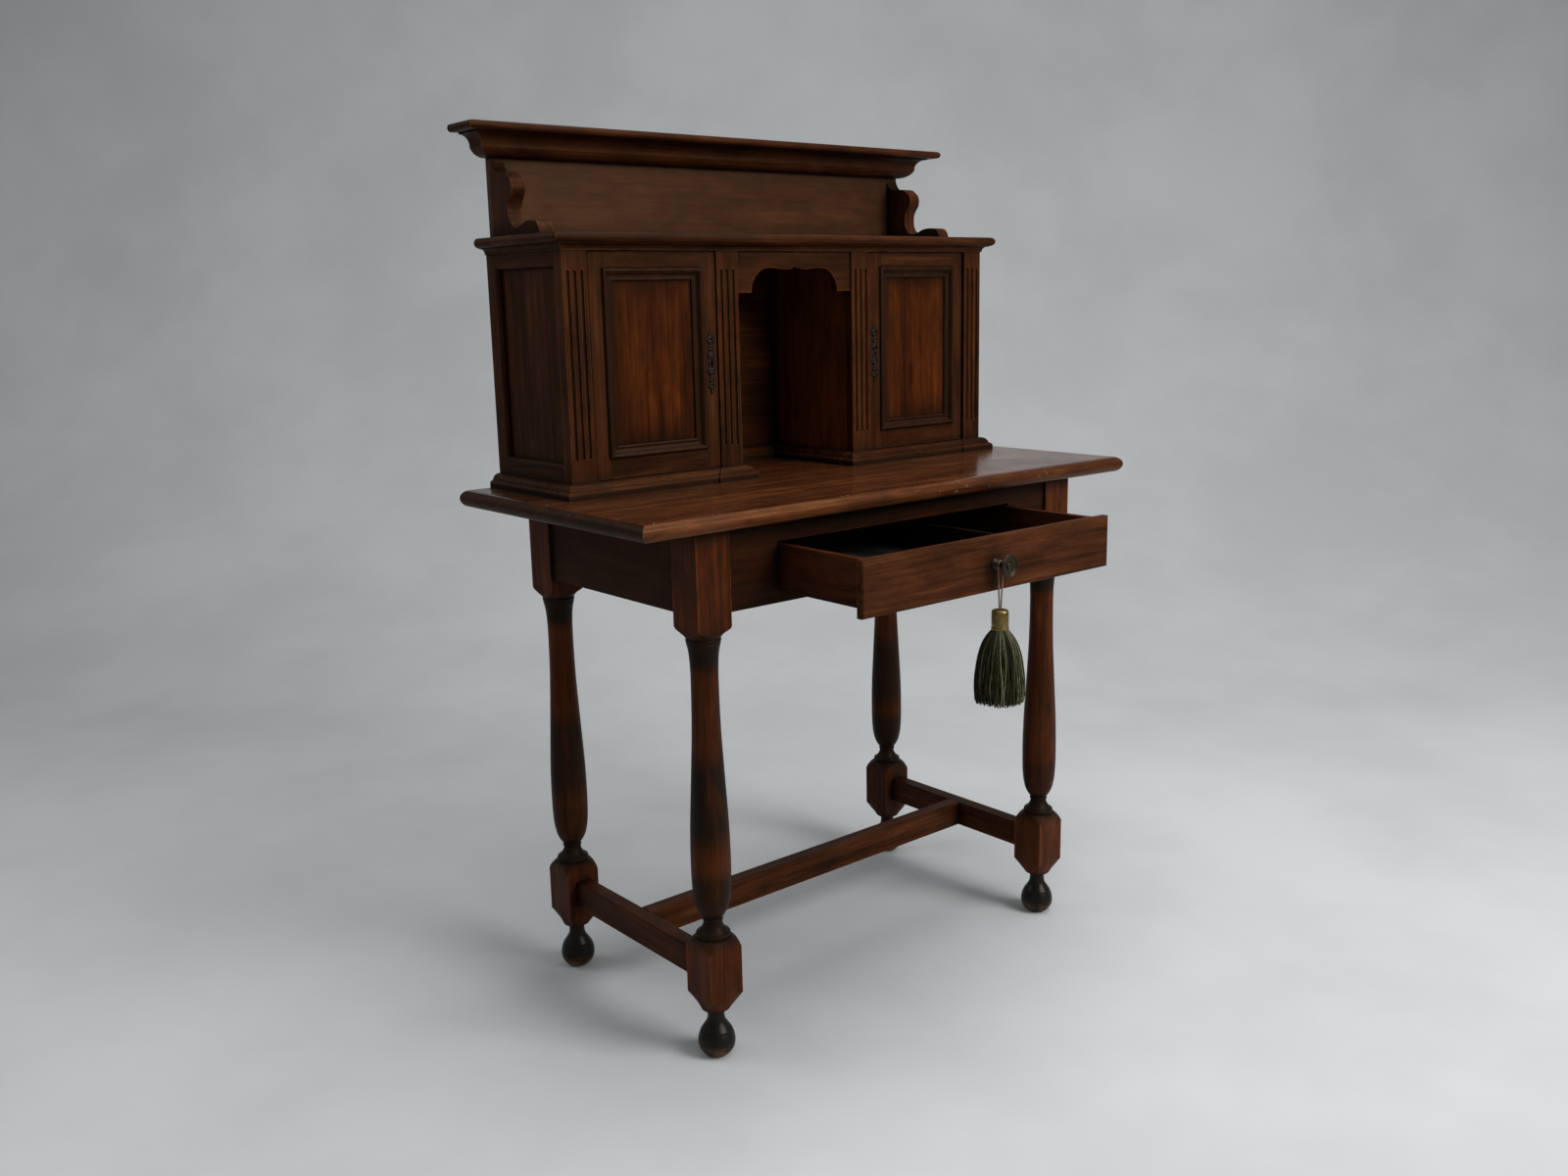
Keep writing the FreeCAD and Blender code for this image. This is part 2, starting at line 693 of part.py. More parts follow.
side_frame = rounded(side_frame, side_bead, window_rim)
side_panel = block(cabinet_end_x - side_panel_depth - side_panel_thickness,
                   cabinet_end_x - side_panel_depth, panel_start_y, panel_end_y, panel_bottom_z, panel_top_z)
partition = block(niche_x, niche_x + partition_thickness, pilaster_back_y, back_board_y, plinth_top_z,
                  cabinet_top_z)


def pilaster(x_low):
    post = block(x_low, x_low + pilaster_width, cabinet_front_y, pilaster_back_y, plinth_top_z, cabinet_top_z)
    low = plinth_top_z + flute_bottom_margin
    high = cabinet_top_z - flute_top_margin
    flutes = []
    for index in range(flute_count):
        x = x_low + pilaster_width / 2 + (index - (flute_count - 1) / 2) * flute_pitch
        flutes.append(Part.makeCylinder(flute_width / 2, high - low, Vector(x, cabinet_front_y, low)))
    return post.cut(flutes)


rail_front_y = cabinet_front_y + niche_rail_setback


def rail_place(width_share, height_share):
    return Vector(niche_x * width_share, rail_front_y,
                  cabinet_top_z - niche_rail_height + niche_rail_height * height_share)


half_rail = prism(pen(*strokes_of(niche_rail_shares, rail_place)), Vector(0, niche_rail_thickness, 0))
niche_rail = half_rail.fuse(mirrored(half_rail))

# Doors on pivot pins, with a bolection moulding, a panel, an escutcheon and a lock

door_inner_x = inner_pilaster_x + door_side_gap
door_outer_x = outer_pilaster_x - door_side_gap
door_bottom_z = plinth_top_z + door_end_gap
door_top_z = cabinet_top_z - door_end_gap
pivot_x = door_outer_x - pivot_inset
pivot_y = door_front_y + pivot_inset
window_low_x = door_inner_x + door_stile
window_high_x = door_outer_x - door_stile
window_low_z = door_bottom_z + door_bottom_rail
window_high_z = door_top_z - door_top_rail
door_slab = block(door_inner_x, door_outer_x, door_front_y, door_back_y, door_bottom_z, door_top_z)


def hinge_arris(edge):
    box = edge.BoundBox
    return box.XMin > pivot_x and box.YMax < pivot_y


door_slab = rounded(door_slab, pivot_inset, hinge_arris)
door_window = block(window_low_x, window_high_x, door_front_y - overrun, door_back_y + overrun,
                    window_low_z, window_high_z)
door_panel = block(window_low_x, window_high_x, door_front_y + panel_depth,
                   door_front_y + panel_depth + panel_thickness, window_low_z, window_high_z)

mould_low_x = window_low_x - moulding_lap
mould_high_x = window_high_x + moulding_lap
mould_low_z = window_low_z - moulding_lap
mould_high_z = window_high_z + moulding_lap
mould_middle_x = (mould_low_x + mould_high_x) / 2


def mould_corner(x, z):
    return Vector(x, door_front_y, z)


def mould_place(width_share, rise_share):
    depth = moulding_rise if rise_share > 0 else panel_depth
    return Vector(mould_middle_x, door_front_y - depth * rise_share,
                  mould_low_z + moulding_width * width_share)


mould_corners = [mould_corner(mould_middle_x, mould_low_z), mould_corner(mould_high_x, mould_low_z),
                 mould_corner(mould_high_x, mould_high_z), mould_corner(mould_low_x, mould_high_z),
                 mould_corner(mould_low_x, mould_low_z), mould_corner(mould_middle_x, mould_low_z)]
mould_way = Part.Wire([straight(a, b) for a, b in zip(mould_corners, mould_corners[1:])])
lap_share = moulding_lap / moulding_width
mould_section = pen(*strokes_of(moulding_section_shares + ((lap_share, -1.0), (lap_share, 0.0)), mould_place))
door_moulding = mould_way.makePipeShell([mould_section], True, False, 1)

stile_middle_x = (door_inner_x + mould_low_x) / 2
escutcheon_z = door_bottom_z + escutcheon_lift
keyhole_z = escutcheon_z + keyhole_rise


def plate_place(width_share, height_share):
    return Vector(stile_middle_x + escutcheon_width / 2 * width_share, door_front_y,
                  escutcheon_z + escutcheon_height * height_share)


half_plate = prism(pen(*strokes_of(escutcheon_shares, plate_place)), Vector(0, -escutcheon_thickness, 0))
plate = half_plate.fuse(half_plate.mirror(Vector(stile_middle_x, 0, 0), Vector(1, 0, 0)))
lock_low_x = door_inner_x + lock_edge
lock_front_y = door_back_y - lock_thickness
keyhole_start = Vector(stile_middle_x, door_front_y - overrun, keyhole_z)
keyhole_run = lock_front_y - door_front_y + overrun
keyhole = Part.makeCylinder(keyhole_diameter / 2, keyhole_run, keyhole_start, Vector(0, 1, 0))
keyhole = keyhole.fuse(block(stile_middle_x - keyhole_slot_width / 2, stile_middle_x + keyhole_slot_width / 2,
                             door_front_y - overrun, lock_front_y, keyhole_z - keyhole_slot_drop, keyhole_z))
escutcheon = plate.cut(keyhole)

lock_body = block(lock_low_x, lock_low_x + lock_width, lock_front_y, door_back_y,
                  keyhole_z - lock_height / 2, keyhole_z + lock_height / 2)
bolt_middle_y = lock_front_y + lock_thickness / 2
lock_bolt = block(door_inner_x + bolt_gap, door_inner_x + bolt_gap + bolt_length,
                  bolt_middle_y - bolt_thickness / 2, bolt_middle_y + bolt_thickness / 2,
                  keyhole_z - bolt_height / 2, keyhole_z + bolt_height / 2)
bolt_side_room = bolt_thickness / 2 + bolt_gap
bolt_end_room = bolt_height / 2 + bolt_gap
bolt_room = block(door_inner_x - overrun, door_inner_x + bolt_length + bolt_gap * 2,
                  bolt_middle_y - bolt_side_room, bolt_middle_y + bolt_side_room,
                  keyhole_z - bolt_end_room, keyhole_z + bolt_end_room)
lock_case = lock_body.cut(bolt_room)

pin_radius = pivot_pin_diameter / 2


def pivot(face_z, into_door):
    # A stud seated in the fixed face fills most of the gap, and its pin reaches into the door.
    seat = Vector(pivot_x, pivot_y, face_z - into_door * pivot_pin_length)
    lean = Vector(0, 0, into_door)
    stud_length = pivot_pin_length + door_end_gap - pivot_end_gap
    pin = Part.makeCylinder(pin_radius, pivot_pin_length + pivot_end_gap, seat + lean * stud_length, lean)
    return Part.makeCylinder(pivot_stud_diameter / 2, stud_length, seat, lean).fuse(pin)


def pivot_room(door_end_z, into_door):
    start = Vector(pivot_x, pivot_y, door_end_z)
    return Part.makeCylinder(pin_radius + pivot_fit, pivot_pin_length + door_end_gap, start,
                             Vector(0, 0, into_door))


lower_pivot = pivot(plinth_top_z, 1)
upper_pivot = pivot(cabinet_top_z, -1)
door_frame = door_slab.cut([door_window, keyhole, lock_body, bolt_room, pivot_room(door_bottom_z, 1),
                            pivot_room(door_top_z, -1)])

# Moulded board on the cabinet

top_way = [Vector(-cabinet_end_x, cabinet_back_y, cabinet_top_z),
           Vector(-cabinet_end_x, cabinet_front_y, cabinet_top_z),
           Vector(cabinet_end_x, cabinet_front_y, cabinet_top_z),
           Vector(cabinet_end_x, cabinet_back_y, cabinet_top_z)]
top_edge = moulded_run(top_way, top_board_section_shares, top_board_reach, top_board_thickness)
top_board = prism(pen(*top_way), Vector(0, 0, top_board_thickness)).fuse(top_edge)
top_board = top_board.cut([upper_pivot, mirrored(upper_pivot)])

save_pair("plinth", plinth_right.cut(lower_pivot))
save("plinth_niche", plinth_niche)
save_pair("side_frame", side_frame)
save_pair("side_panel", side_panel)
save_pair("partition", partition)
save_pair("pilaster_outer", pilaster(outer_pilaster_x))
save_pair("pilaster_inner", pilaster(niche_x))
save("niche_rail", niche_rail)
save("cabinet_back", cabinet_back)
save("superstructure_board", top_board)
save_pair("door_pivots", Part.makeCompound([lower_pivot, upper_pivot]))
save_pair("door_frame", door_frame)
save_pair("door_panel", door_panel)
save_pair("door_moulding", door_moulding)
save_pair("door_escutcheon", escutcheon)
save_pair("door_lock_case", lock_case)
save_pair("door_lock_bolt", lock_bolt)

# Crown: back panel, scrolled brackets and cornice

crown_panel = block(-crown_end_x, crown_end_x, crown_front_y, cabinet_back_y, crown_bottom_z, crown_top_z)
cornice_way = [Vector(-crown_end_x, cabinet_back_y, cornice_bottom_z),
               Vector(-crown_end_x, crown_front_y, cornice_bottom_z),
               Vector(crown_end_x, crown_front_y, cornice_bottom_z),
               Vector(crown_end_x, cabinet_back_y, cornice_bottom_z)]
cornice = moulded_run(cornice_way, cornice_section_shares, cornice_reach, cornice_height)
bracket_height = cornice_bottom_z - crown_bottom_z


def bracket_place(reach_share, height_share):
    return Vector(crown_end_x - bracket_thickness, crown_front_y - bracket_reach * reach_share,
                  crown_bottom_z + bracket_height * height_share)


bracket = prism(pen(*strokes_of(bracket_shares, bracket_place)), Vector(bracket_thickness, 0, 0))
save("crown_panel", crown_panel)
save("cornice", cornice)
save_pair("bracket", bracket)
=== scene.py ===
import math

import bmesh
import bpy
from mathutils import Matrix, Vector


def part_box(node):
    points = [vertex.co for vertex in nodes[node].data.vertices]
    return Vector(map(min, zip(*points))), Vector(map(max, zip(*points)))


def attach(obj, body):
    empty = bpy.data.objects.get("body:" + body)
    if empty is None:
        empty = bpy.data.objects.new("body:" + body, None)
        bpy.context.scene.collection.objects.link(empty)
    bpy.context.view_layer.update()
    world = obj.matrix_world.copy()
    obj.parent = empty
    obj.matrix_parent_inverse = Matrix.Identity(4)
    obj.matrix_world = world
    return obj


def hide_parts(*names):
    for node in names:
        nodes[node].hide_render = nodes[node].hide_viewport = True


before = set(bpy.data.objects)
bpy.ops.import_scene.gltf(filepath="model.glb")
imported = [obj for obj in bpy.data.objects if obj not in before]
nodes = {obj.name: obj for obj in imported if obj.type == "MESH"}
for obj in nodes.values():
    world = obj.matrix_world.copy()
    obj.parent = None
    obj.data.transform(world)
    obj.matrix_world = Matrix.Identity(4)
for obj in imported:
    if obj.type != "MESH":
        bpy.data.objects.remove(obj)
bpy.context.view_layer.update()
scene = bpy.context.scene
scene.view_settings.view_transform = "Standard"

MM = 0.001
MERGE_DISTANCE = 1e-6
SIDES = ("left", "right")


# Camera, placed where the photograph was taken from

CAMERA_PLACE = (-1.37644, -1.50041, 1.02105)
CAMERA_YAW, CAMERA_PITCH, CAMERA_ROLL = 0.694935, -0.206505, -0.021824
SENSOR_WIDTH = 36.0
FOCAL_PIXELS, PHOTO_WIDTH_PIXELS = 1415.19, 1600
VIEW_DEPTH = 60.0


def desk_camera():
    level = math.cos(CAMERA_PITCH)
    ahead = Vector((math.sin(CAMERA_YAW) * level, math.cos(CAMERA_YAW) * level, math.sin(CAMERA_PITCH)))
    right = Vector((math.cos(CAMERA_YAW), -math.sin(CAMERA_YAW), 0.0))
    up = right.cross(ahead)
    right_rolled = right * math.cos(CAMERA_ROLL) + up * math.sin(CAMERA_ROLL)
    up_rolled = up * math.cos(CAMERA_ROLL) - right * math.sin(CAMERA_ROLL)
    turn = Matrix((right_rolled, up_rolled, -ahead)).transposed().to_4x4()
    lens = bpy.data.cameras.new("desk_camera")
    lens.sensor_width = SENSOR_WIDTH
    lens.lens = SENSOR_WIDTH * FOCAL_PIXELS / PHOTO_WIDTH_PIXELS
    lens.clip_end = VIEW_DEPTH
    camera = bpy.data.objects.new("desk_camera", lens)
    camera.matrix_world = Matrix.Translation(CAMERA_PLACE) @ turn
    scene.collection.objects.link(camera)
    scene.camera = camera


desk_camera()


# Helpers for meshes

def mesh_piece(name, points, faces, sharp=35.0):
    """A closed smooth mesh; edges that turn by more than sharp degrees stay sharp."""
    mesh = bpy.data.meshes.new(name)
    mesh.from_pydata(points, [], faces)
    mesh.update()
    tidy = bmesh.new()
    tidy.from_mesh(mesh)
    bmesh.ops.remove_doubles(tidy, verts=tidy.verts, dist=MERGE_DISTANCE)
    bmesh.ops.recalc_face_normals(tidy, faces=tidy.faces)
    tidy.to_mesh(mesh)
    tidy.free()
    mesh.shade_smooth()
    mesh.set_sharp_from_angle(angle=math.radians(sharp))
    piece = bpy.data.objects.new(name, mesh)
    scene.collection.objects.link(piece)
    return piece


def through(points, steps=5):
    """A smooth line through given points, ends kept."""
    line = []
    last = len(points) - 1
    for i in range(last):
        a, b = points[i], points[i + 1]
        before = points[max(i - 1, 0)]
        after = points[min(i + 2, last)]
        for step in range(steps):
            t = step / steps
            line.append(tuple(
                0.5 * (2 * b0 + (b1 - a0) * t + (2 * a0 - 5 * b0 + 4 * b1 - b2) * t * t
                       + (3 * b0 - a0 - 3 * b1 + b2) * t * t * t)
                for a0, b0, b1, b2 in zip(before, a, b, after)))
    line.append(points[last])
    return line


def skin(rings):
    """Points and faces from ring to ring, with a face over the first and the last ring."""
    count = len(rings[0])
    points = [p for ring in rings for p in ring]
    faces = []
    for r in range(len(rings) - 1):
        for s in range(count):
            n = (s + 1) % count
            faces.append((r * count + s, r * count + n, (r + 1) * count + n, (r + 1) * count + s))
    faces.append(tuple(range(count)))
    faces.append(tuple(range(len(points) - count, len(points))))
    return points, faces


def lathe(name, outline, place, sides):
    """Turns an outline of (reach, radius) in millimetres; place gives the point for reach, x and y."""
    rings = []
    for reach, radius in outline:
        rings.append([place(reach * MM, radius * MM * math.cos(math.tau * s / sides),
                            radius * MM * math.sin(math.tau * s / sides)) for s in range(sides)])
    return mesh_piece(name, *skin(rings))


def keep_modified(piece, modifier):
    """Gives a piece the mesh that its modifier makes, and takes the modifier off."""
    bpy.context.view_layer.update()
    shown = piece.evaluated_get(bpy.context.evaluated_depsgraph_get())
    mesh = bpy.data.meshes.new_from_object(shown)
    mesh.name = piece.name
    piece.modifiers.remove(modifier)
    piece.data = mesh


def set_material(piece, *materials):
    piece.data.materials.clear()
    for material in materials:
        piece.data.materials.append(material)


# Helpers for shader trees

COLUMN_WIDTH = 190
FINE_DEPTH = 0.0003


class Tree:
    """Adds nodes to a tree from left to right."""

    def __init__(self, tree):
        self.tree = tree
        self.column = 0

    def add(self, kind, settings=None, **links):
        node = self.tree.nodes.new(kind)
        node.location = (self.column * COLUMN_WIDTH, 0)
        self.column += 1
        for key, value in (settings or {}).items():
            setattr(node, key, value)
        for socket, value in links.items():
            self.feed(node.inputs[socket.replace("_", " ")], value)
        return node

    def feed(self, socket, value):
        if isinstance(value, bpy.types.NodeSocket):
            self.tree.links.new(value, socket)
        else:
            socket.default_value = value

    def math(self, operation, *values):
        node = self.add("ShaderNodeMath", {"operation": operation})
        for socket, value in zip(node.inputs, values):
            self.feed(socket, value)
        return node.outputs[0]

    def times(self, first, second):
        return self.math("MULTIPLY", first, second)

    def plus(self, first, second):
        return self.math("ADD", first, second)

    def larger(self, first, second):
        return self.math("MAXIMUM", first, second)

    def apart(self, first, second):
        return self.math("ABSOLUTE", self.math("SUBTRACT", first, second))

    def ramp(self, value, low, high, to_low=0.0, to_high=1.0):
        node = self.add("ShaderNodeMapRange", {"interpolation_type": "SMOOTHSTEP"})
        for name, given in (("Value", value), ("From Min", low), ("From Max", high), ("To Min", to_low),
                            ("To Max", to_high)):
            self.feed(node.inputs[name], given)
        return node.outputs["Result"]

    def mix(self, share, first, second, blend="MIX"):
        node = self.add("ShaderNodeMix", {"data_type": "RGBA", "blend_type": blend})
        self.feed(node.inputs["Factor"], share)
        self.feed(node.inputs[6], first)
        self.feed(node.inputs[7], second)
        return node.outputs[2]

    def noise(self, vector, scale, detail=4.0, rough=0.55, bend=0.0):
        """Noise at one scale, or stretched where scale is one number for each axis."""
        if isinstance(scale, tuple):
            stretched = self.add("ShaderNodeMapping", None, Vector=vector, Scale=scale)
            vector, scale = stretched.outputs["Vector"], 1.0
        node = self.add("ShaderNodeTexNoise", None, Vector=vector, Scale=scale, Detail=detail,
                        Roughness=rough, Distortion=bend)
        return node.outputs["Fac"]

    def object_place(self):
        return self.add("ShaderNodeTexCoord").outputs["Object"]

    def split(self, vector):
        return self.add("ShaderNodeSeparateXYZ", None, Vector=vector).outputs


def group_tree(name, inputs, outputs):
    tree = bpy.data.node_groups.new(name, "ShaderNodeTree")
    for label, kind, value in inputs:
        socket = tree.interface.new_socket(label, in_out="INPUT", socket_type=kind)
        if value is not None:
            socket.default_value = value
    for label, kind in outputs:
        tree.interface.new_socket(label, in_out="OUTPUT", socket_type=kind)
    build = Tree(tree)
    return build, build.add("NodeGroupInput").outputs, tree


def shade(rgb):
    return (rgb[0], rgb[1], rgb[2], 1.0)


def new_material(name):
    material = bpy.data.materials.new(name)
    material.use_nodes = True
    material.node_tree.nodes.clear()
    build = Tree(material.node_tree)
    surface = build.add("ShaderNodeBsdfPrincipled")
    build.add("ShaderNodeOutputMaterial", None, Surface=surface.outputs["BSDF"])
    return material, build, surface


def dress(build, surface, tone, rough, height, strength, depth=FINE_DEPTH):
    """Feeds a surface its colour, its roughness and a bump of the given strength and depth."""
    build.feed(surface.inputs["Base Color"], tone)
    build.feed(surface.inputs["Roughness"], rough)
    bump = build.add("ShaderNodeBump", None, Strength=strength, Distance=depth, Height=height)
    build.feed(surface.inputs["Normal"], bump.outputs["Normal"])


# Tones of each wood, in its deep streaks, its body and its bright streaks

DESK_TONES = ((0.016, 0.0052, 0.002), (0.036, 0.0104, 0.0034), (0.075, 0.0235, 0.0066))
RED_TONES = ((0.019, 0.006, 0.0022), (0.051, 0.0152, 0.005), (0.105, 0.036, 0.012))
DEEP, BODY, BRIGHT = DESK_TONES
RED_DEEP, RED_BODY, RED_BRIGHT = RED_TONES
PANEL_TONES = ((0.021, 0.005, 0.0013), (0.056, 0.0126, 0.0025), (0.105, 0.0272, 0.0052))
# Painted shade: darker tones for the front apron, for the shadow of the board and the drawer.
SHADED_FRONT_APRON_TONES = ((0.009, 0.003, 0.0013), (0.018, 0.0056, 0.0021), BODY)
# Painted shade: darker tones for the side aprons, for the shade on the desk's sides.
SHADED_SIDE_APRON_TONES = ((0.012, 0.0042, 0.0018), (0.024, 0.0078, 0.0028), BODY)
LEG_TONES = (DEEP, (0.048, 0.0112, 0.0027), (0.088, 0.0245, 0.0056))
# Painted light: brighter leg tones for the front right leg, for light that it lacks in the drawer's shadow.
LIT_LEG_TONES = (DEEP, (0.06, 0.0145, 0.0037), (0.11, 0.031, 0.0074))
FOOT_TONES = ((0.0025, 0.0021, 0.0017), (0.0055, 0.0047, 0.0038), (0.011, 0.0085, 0.0065))
BOARD_TONES = (RED_DEEP, (0.065, 0.0193, 0.0062), (0.13, 0.045, 0.0148))
BOARD_END_TONES = ((0.01, 0.0034, 0.0014), (0.026, 0.008, 0.003), BODY)
DRAWER_FRONT_TONES = (RED_DEEP, (0.05, 0.0148, 0.0046), RED_BRIGHT)
INNER_TONES = (DEEP, (0.053, 0.015, 0.0058), RED_BODY)
DIVIDER_TONES = ((0.004, 0.002, 0.0012), (0.009, 0.004, 0.0021), DEEP)
# Painted light: bright warm tones for the niche's side, for a glow of light in the niche.
LIT_NICHE_TONES = (RED_BODY, (0.1, 0.028, 0.008), (0.16, 0.05, 0.014))
MOULDING_TONES = ((0.007, 0.0026, 0.0013), (0.017, 0.0054, 0.0022), BODY)
CROWN_TONES = (RED_DEEP, (0.037, 0.0118, 0.0047), RED_BODY)

# Tones of dirt and wear on the wood, partly painted shade and painted light, and the tint of its
# reflections

# The dark tone below serves both the stains and the painted shade in the corners.
DIRT_AND_SHADE_TONE = (0.006, 0.004, 0.003)
JOINT_TONE = (0.005, 0.0035, 0.0025)
BORDER_TONE = (0.007, 0.003, 0.0018)
GRIME_AND_SHADE_TONE = (0.006, 0.0045, 0.003)
SPECK_TONE = (0.32, 0.25, 0.19)
WORN_TONE = (0.1, 0.046, 0.018)
RUBBED_TINT = (1.9, 1.75, 1.5)
BLOCK_TINT_AND_LIGHT = (1.28, 1.12, 0.88)
WOOD_GLINT, LEG_GLINT, FOOT_GLINT = (1.0, 0.6, 0.33), (1.0, 0.72, 0.5), (1.0, 0.92, 0.84)

# Scales of the noise in the wood, with the one along the grain first, or one for each axis of the desk

STREAK_SCALE, BROAD_SCALE = (3.2, 105.0, 105.0), (0.9, 13.0, 13.0)
PORE_SCALE, PATCH_SCALE = (11.0, 330.0, 330.0), (11.0, 44.0, 44.0)
CLOUD_SCALE, RUB_SCALE, GLOSS_SCALE, DENT_SCALE = 5.5, 38.0, 14.0, 30.0
SPECK_SCALE, SPECK_FIELD_SCALE = 200.0, 9.0
BORDER_SCALE, SMOKE_SCALE, CHAFE_SCALE = (9.0, 9.0, 5.0), (11.0, 11.0, 5.0), (60.0, 60.0, 90.0)
SHADER_SAMPLES = 6
CORNER_REACH, EDGE_RADIUS = 0.03, 0.0024
WOOD_ROUGHNESS = 0.34
WOOD_BUMP, WOOD_DEPTH = 0.22, 0.0007
GRAIN_TURNS = {"x": (0.0, 0.0, 0.0), "y": (0.0, 0.0, math.pi / 2), "z": (0.0, math.pi / 2, 0.0)}
GRAIN_SHIFT = (0.37, 0.11, 0.23)
RAIL_SHIFT = 5


# Old stained wood: streaks and pores along the grain, stains, painted shade in the corners, rubbed edges
# and specks

def stained_wood_group():
    build, given, tree = group_tree(
        "stained_wood",
        [("Vector", "NodeSocketVector", None), ("Deep", "NodeSocketColor", shade(DEEP)),
         ("Body", "NodeSocketColor", shade(BODY)), ("Bright", "NodeSocketColor", shade(BRIGHT)),
         ("Stain", "NodeSocketFloat", 0.4), ("Rub", "NodeSocketFloat", 0.5),
         ("Specks", "NodeSocketFloat", 0.0)],
        [("Color", "NodeSocketColor"), ("Roughness", "NodeSocketFloat"), ("Height", "NodeSocketFloat")])
    vector = given["Vector"]

    streak = build.noise(vector, STREAK_SCALE, detail=6.0, rough=0.64, bend=0.3)
    broad = build.noise(vector, BROAD_SCALE, detail=3.0, rough=0.5, bend=0.8)
    pores = build.noise(vector, PORE_SCALE, detail=3.0, rough=0.65)
    figure = build.plus(build.times(streak, 0.65), build.times(broad, 0.35))
    figure = build.plus(figure, build.times(build.math("SUBTRACT", pores, 0.5), 0.3))
    tone = build.mix(build.ramp(figure, 0.34, 0.52), given["Deep"], given["Body"])
    tone = build.mix(build.ramp(figure, 0.5, 0.72), tone, given["Bright"])
    open_pores = build.ramp(pores, 0.36, 0.28)
    tone = build.mix(build.times(open_pores, 0.55), tone, given["Deep"])
    patches = build.noise(vector, PATCH_SCALE, detail=5.0, rough=0.7, bend=0.5)
    tone = build.mix(1.0, tone, build.ramp(patches, 0.32, 0.68, 0.68, 1.28), "MULTIPLY")

    clouds = build.noise(vector, CLOUD_SCALE, rough=0.6, bend=0.6)
    stain = build.times(build.ramp(clouds, 0.46, 0.68), given["Stain"])
    tone = build.mix(stain, tone, shade(DIRT_AND_SHADE_TONE))
    # Painted shade: ambient occlusion darkens corners, crevices and recesses towards the dark tone, and
    # makes them rougher.
    corner = build.add("ShaderNodeAmbientOcclusion", {"samples": SHADER_SAMPLES}, Distance=CORNER_REACH)
    openness = corner.outputs["AO"]
    corner_shade = build.times(build.ramp(openness, 0.975, 0.52), 0.9)
    tone = build.mix(corner_shade, tone, shade(DIRT_AND_SHADE_TONE))

    bevel = build.add("ShaderNodeBevel", {"samples": SHADER_SAMPLES}, Radius=EDGE_RADIUS)
    geometry = build.add("ShaderNodeNewGeometry")
    turn = build.add("ShaderNodeVectorMath", {"operation": "DOT_PRODUCT"})
    build.feed(turn.inputs[0], bevel.outputs["Normal"])
    build.feed(turn.inputs[1], geometry.outputs["Normal"])
    edge = build.ramp(turn.outputs["Value"], 0.985, 0.86)
    rubbed = build.times(edge, build.ramp(build.noise(vector, RUB_SCALE, rough=0.7), 0.36, 0.56))
    rubbed = build.times(rubbed, given["Rub"])
    rubbed = build.times(rubbed, build.ramp(openness, 0.55, 0.9))
    tone = build.mix(rubbed, tone, build.mix(1.0, given["Bright"], shade(RUBBED_TINT), "MULTIPLY"))
    specks = build.ramp(build.noise(vector, SPECK_SCALE, detail=1.0, rough=0.5), 0.69, 0.73)
    specks = build.times(specks, build.ramp(build.noise(vector, SPECK_FIELD_SCALE, detail=2.0), 0.47, 0.6))
    tone = build.mix(build.times(specks, given["Specks"]), tone, shade(SPECK_TONE))

    uneven = build.noise(vector, GLOSS_SCALE, detail=5.0, rough=0.65)
    rough = build.plus(WOOD_ROUGHNESS, build.times(uneven, 0.22))
    rough = build.plus(rough, build.times(corner_shade, 0.25))
    height = build.plus(build.times(open_pores, -0.6), build.times(streak, 0.5))
    height = build.plus(height, build.times(build.noise(vector, DENT_SCALE, detail=2.0), 0.35))
    build.add("NodeGroupOutput", None, Color=tone, Roughness=rough, Height=height)
    return tree


stained_wood = stained_wood_group()


def along_grain(build, coordinates, grain, shift):
    turned = build.add("ShaderNodeMapping", None, Vector=coordinates)
    turned.inputs["Rotation"].default_value = GRAIN_TURNS[grain]
    turned.inputs["Location"].default_value = [shift * step for step in GRAIN_SHIFT]
    return turned.outputs["Vector"]


# Frames: the grain of the rails lies across that of the stiles, with a dark line at each joint

JOINT_FAR, JOINT_NEAR, JOINT_SHARE = 0.0009, 0.0003, 0.7


def rail_grain(build, coordinates, lengthwise, rails_of, shift):
    (low, high), axis = rails_of
    middle, half = (low + high) / 2, (high - low) / 2
    place = build.split(coordinates)
    number = "xyz".index(axis)
    aside = build.apart(place[number], middle[number])
    above = build.math("GREATER_THAN", build.apart(place["Z"], middle.z), half.z)
    rail = build.times(build.math("LESS_THAN", aside, half[number]), above)
    grain = build.mix(rail, lengthwise, along_grain(build, coordinates, axis, shift + RAIL_SHIFT))
    joint = build.times(build.ramp(build.apart(aside, half[number]), JOINT_FAR, JOINT_NEAR), above)
    return grain, build.times(joint, JOINT_SHARE)


# Door panels: darkened towards their borders, given as shares of half the panel

BORDER_ACROSS, BORDER_ALONG, BORDER_SHARE = (0.34, 0.98), (0.52, 0.98), 0.9


def dark_border(build, coordinates, tone, panel):
    low, high = panel
    middle, half = (low + high) / 2, (high - low) / 2
    centred = build.add("ShaderNodeMapping", None, Vector=coordinates)
    centred.inputs["Scale"].default_value = (1 / half.x, 0.0, 1 / half.z)
    centred.inputs["Location"].default_value = (-middle.x / half.x, 0.0, -middle.z / half.z)
    place = build.split(centred.outputs["Vector"])
    across = build.ramp(build.math("ABSOLUTE", place["X"]), *BORDER_ACROSS)
    along = build.ramp(build.math("ABSOLUTE", place["Z"]), *BORDER_ALONG)
    ragged = build.noise(coordinates, BORDER_SCALE, rough=0.6)
    border = build.times(build.larger(across, along), build.ramp(ragged, 0.25, 0.6, 0.5, 1.0))
    return build.mix(build.times(border, BORDER_SHARE), tone, shade(BORDER_TONE))
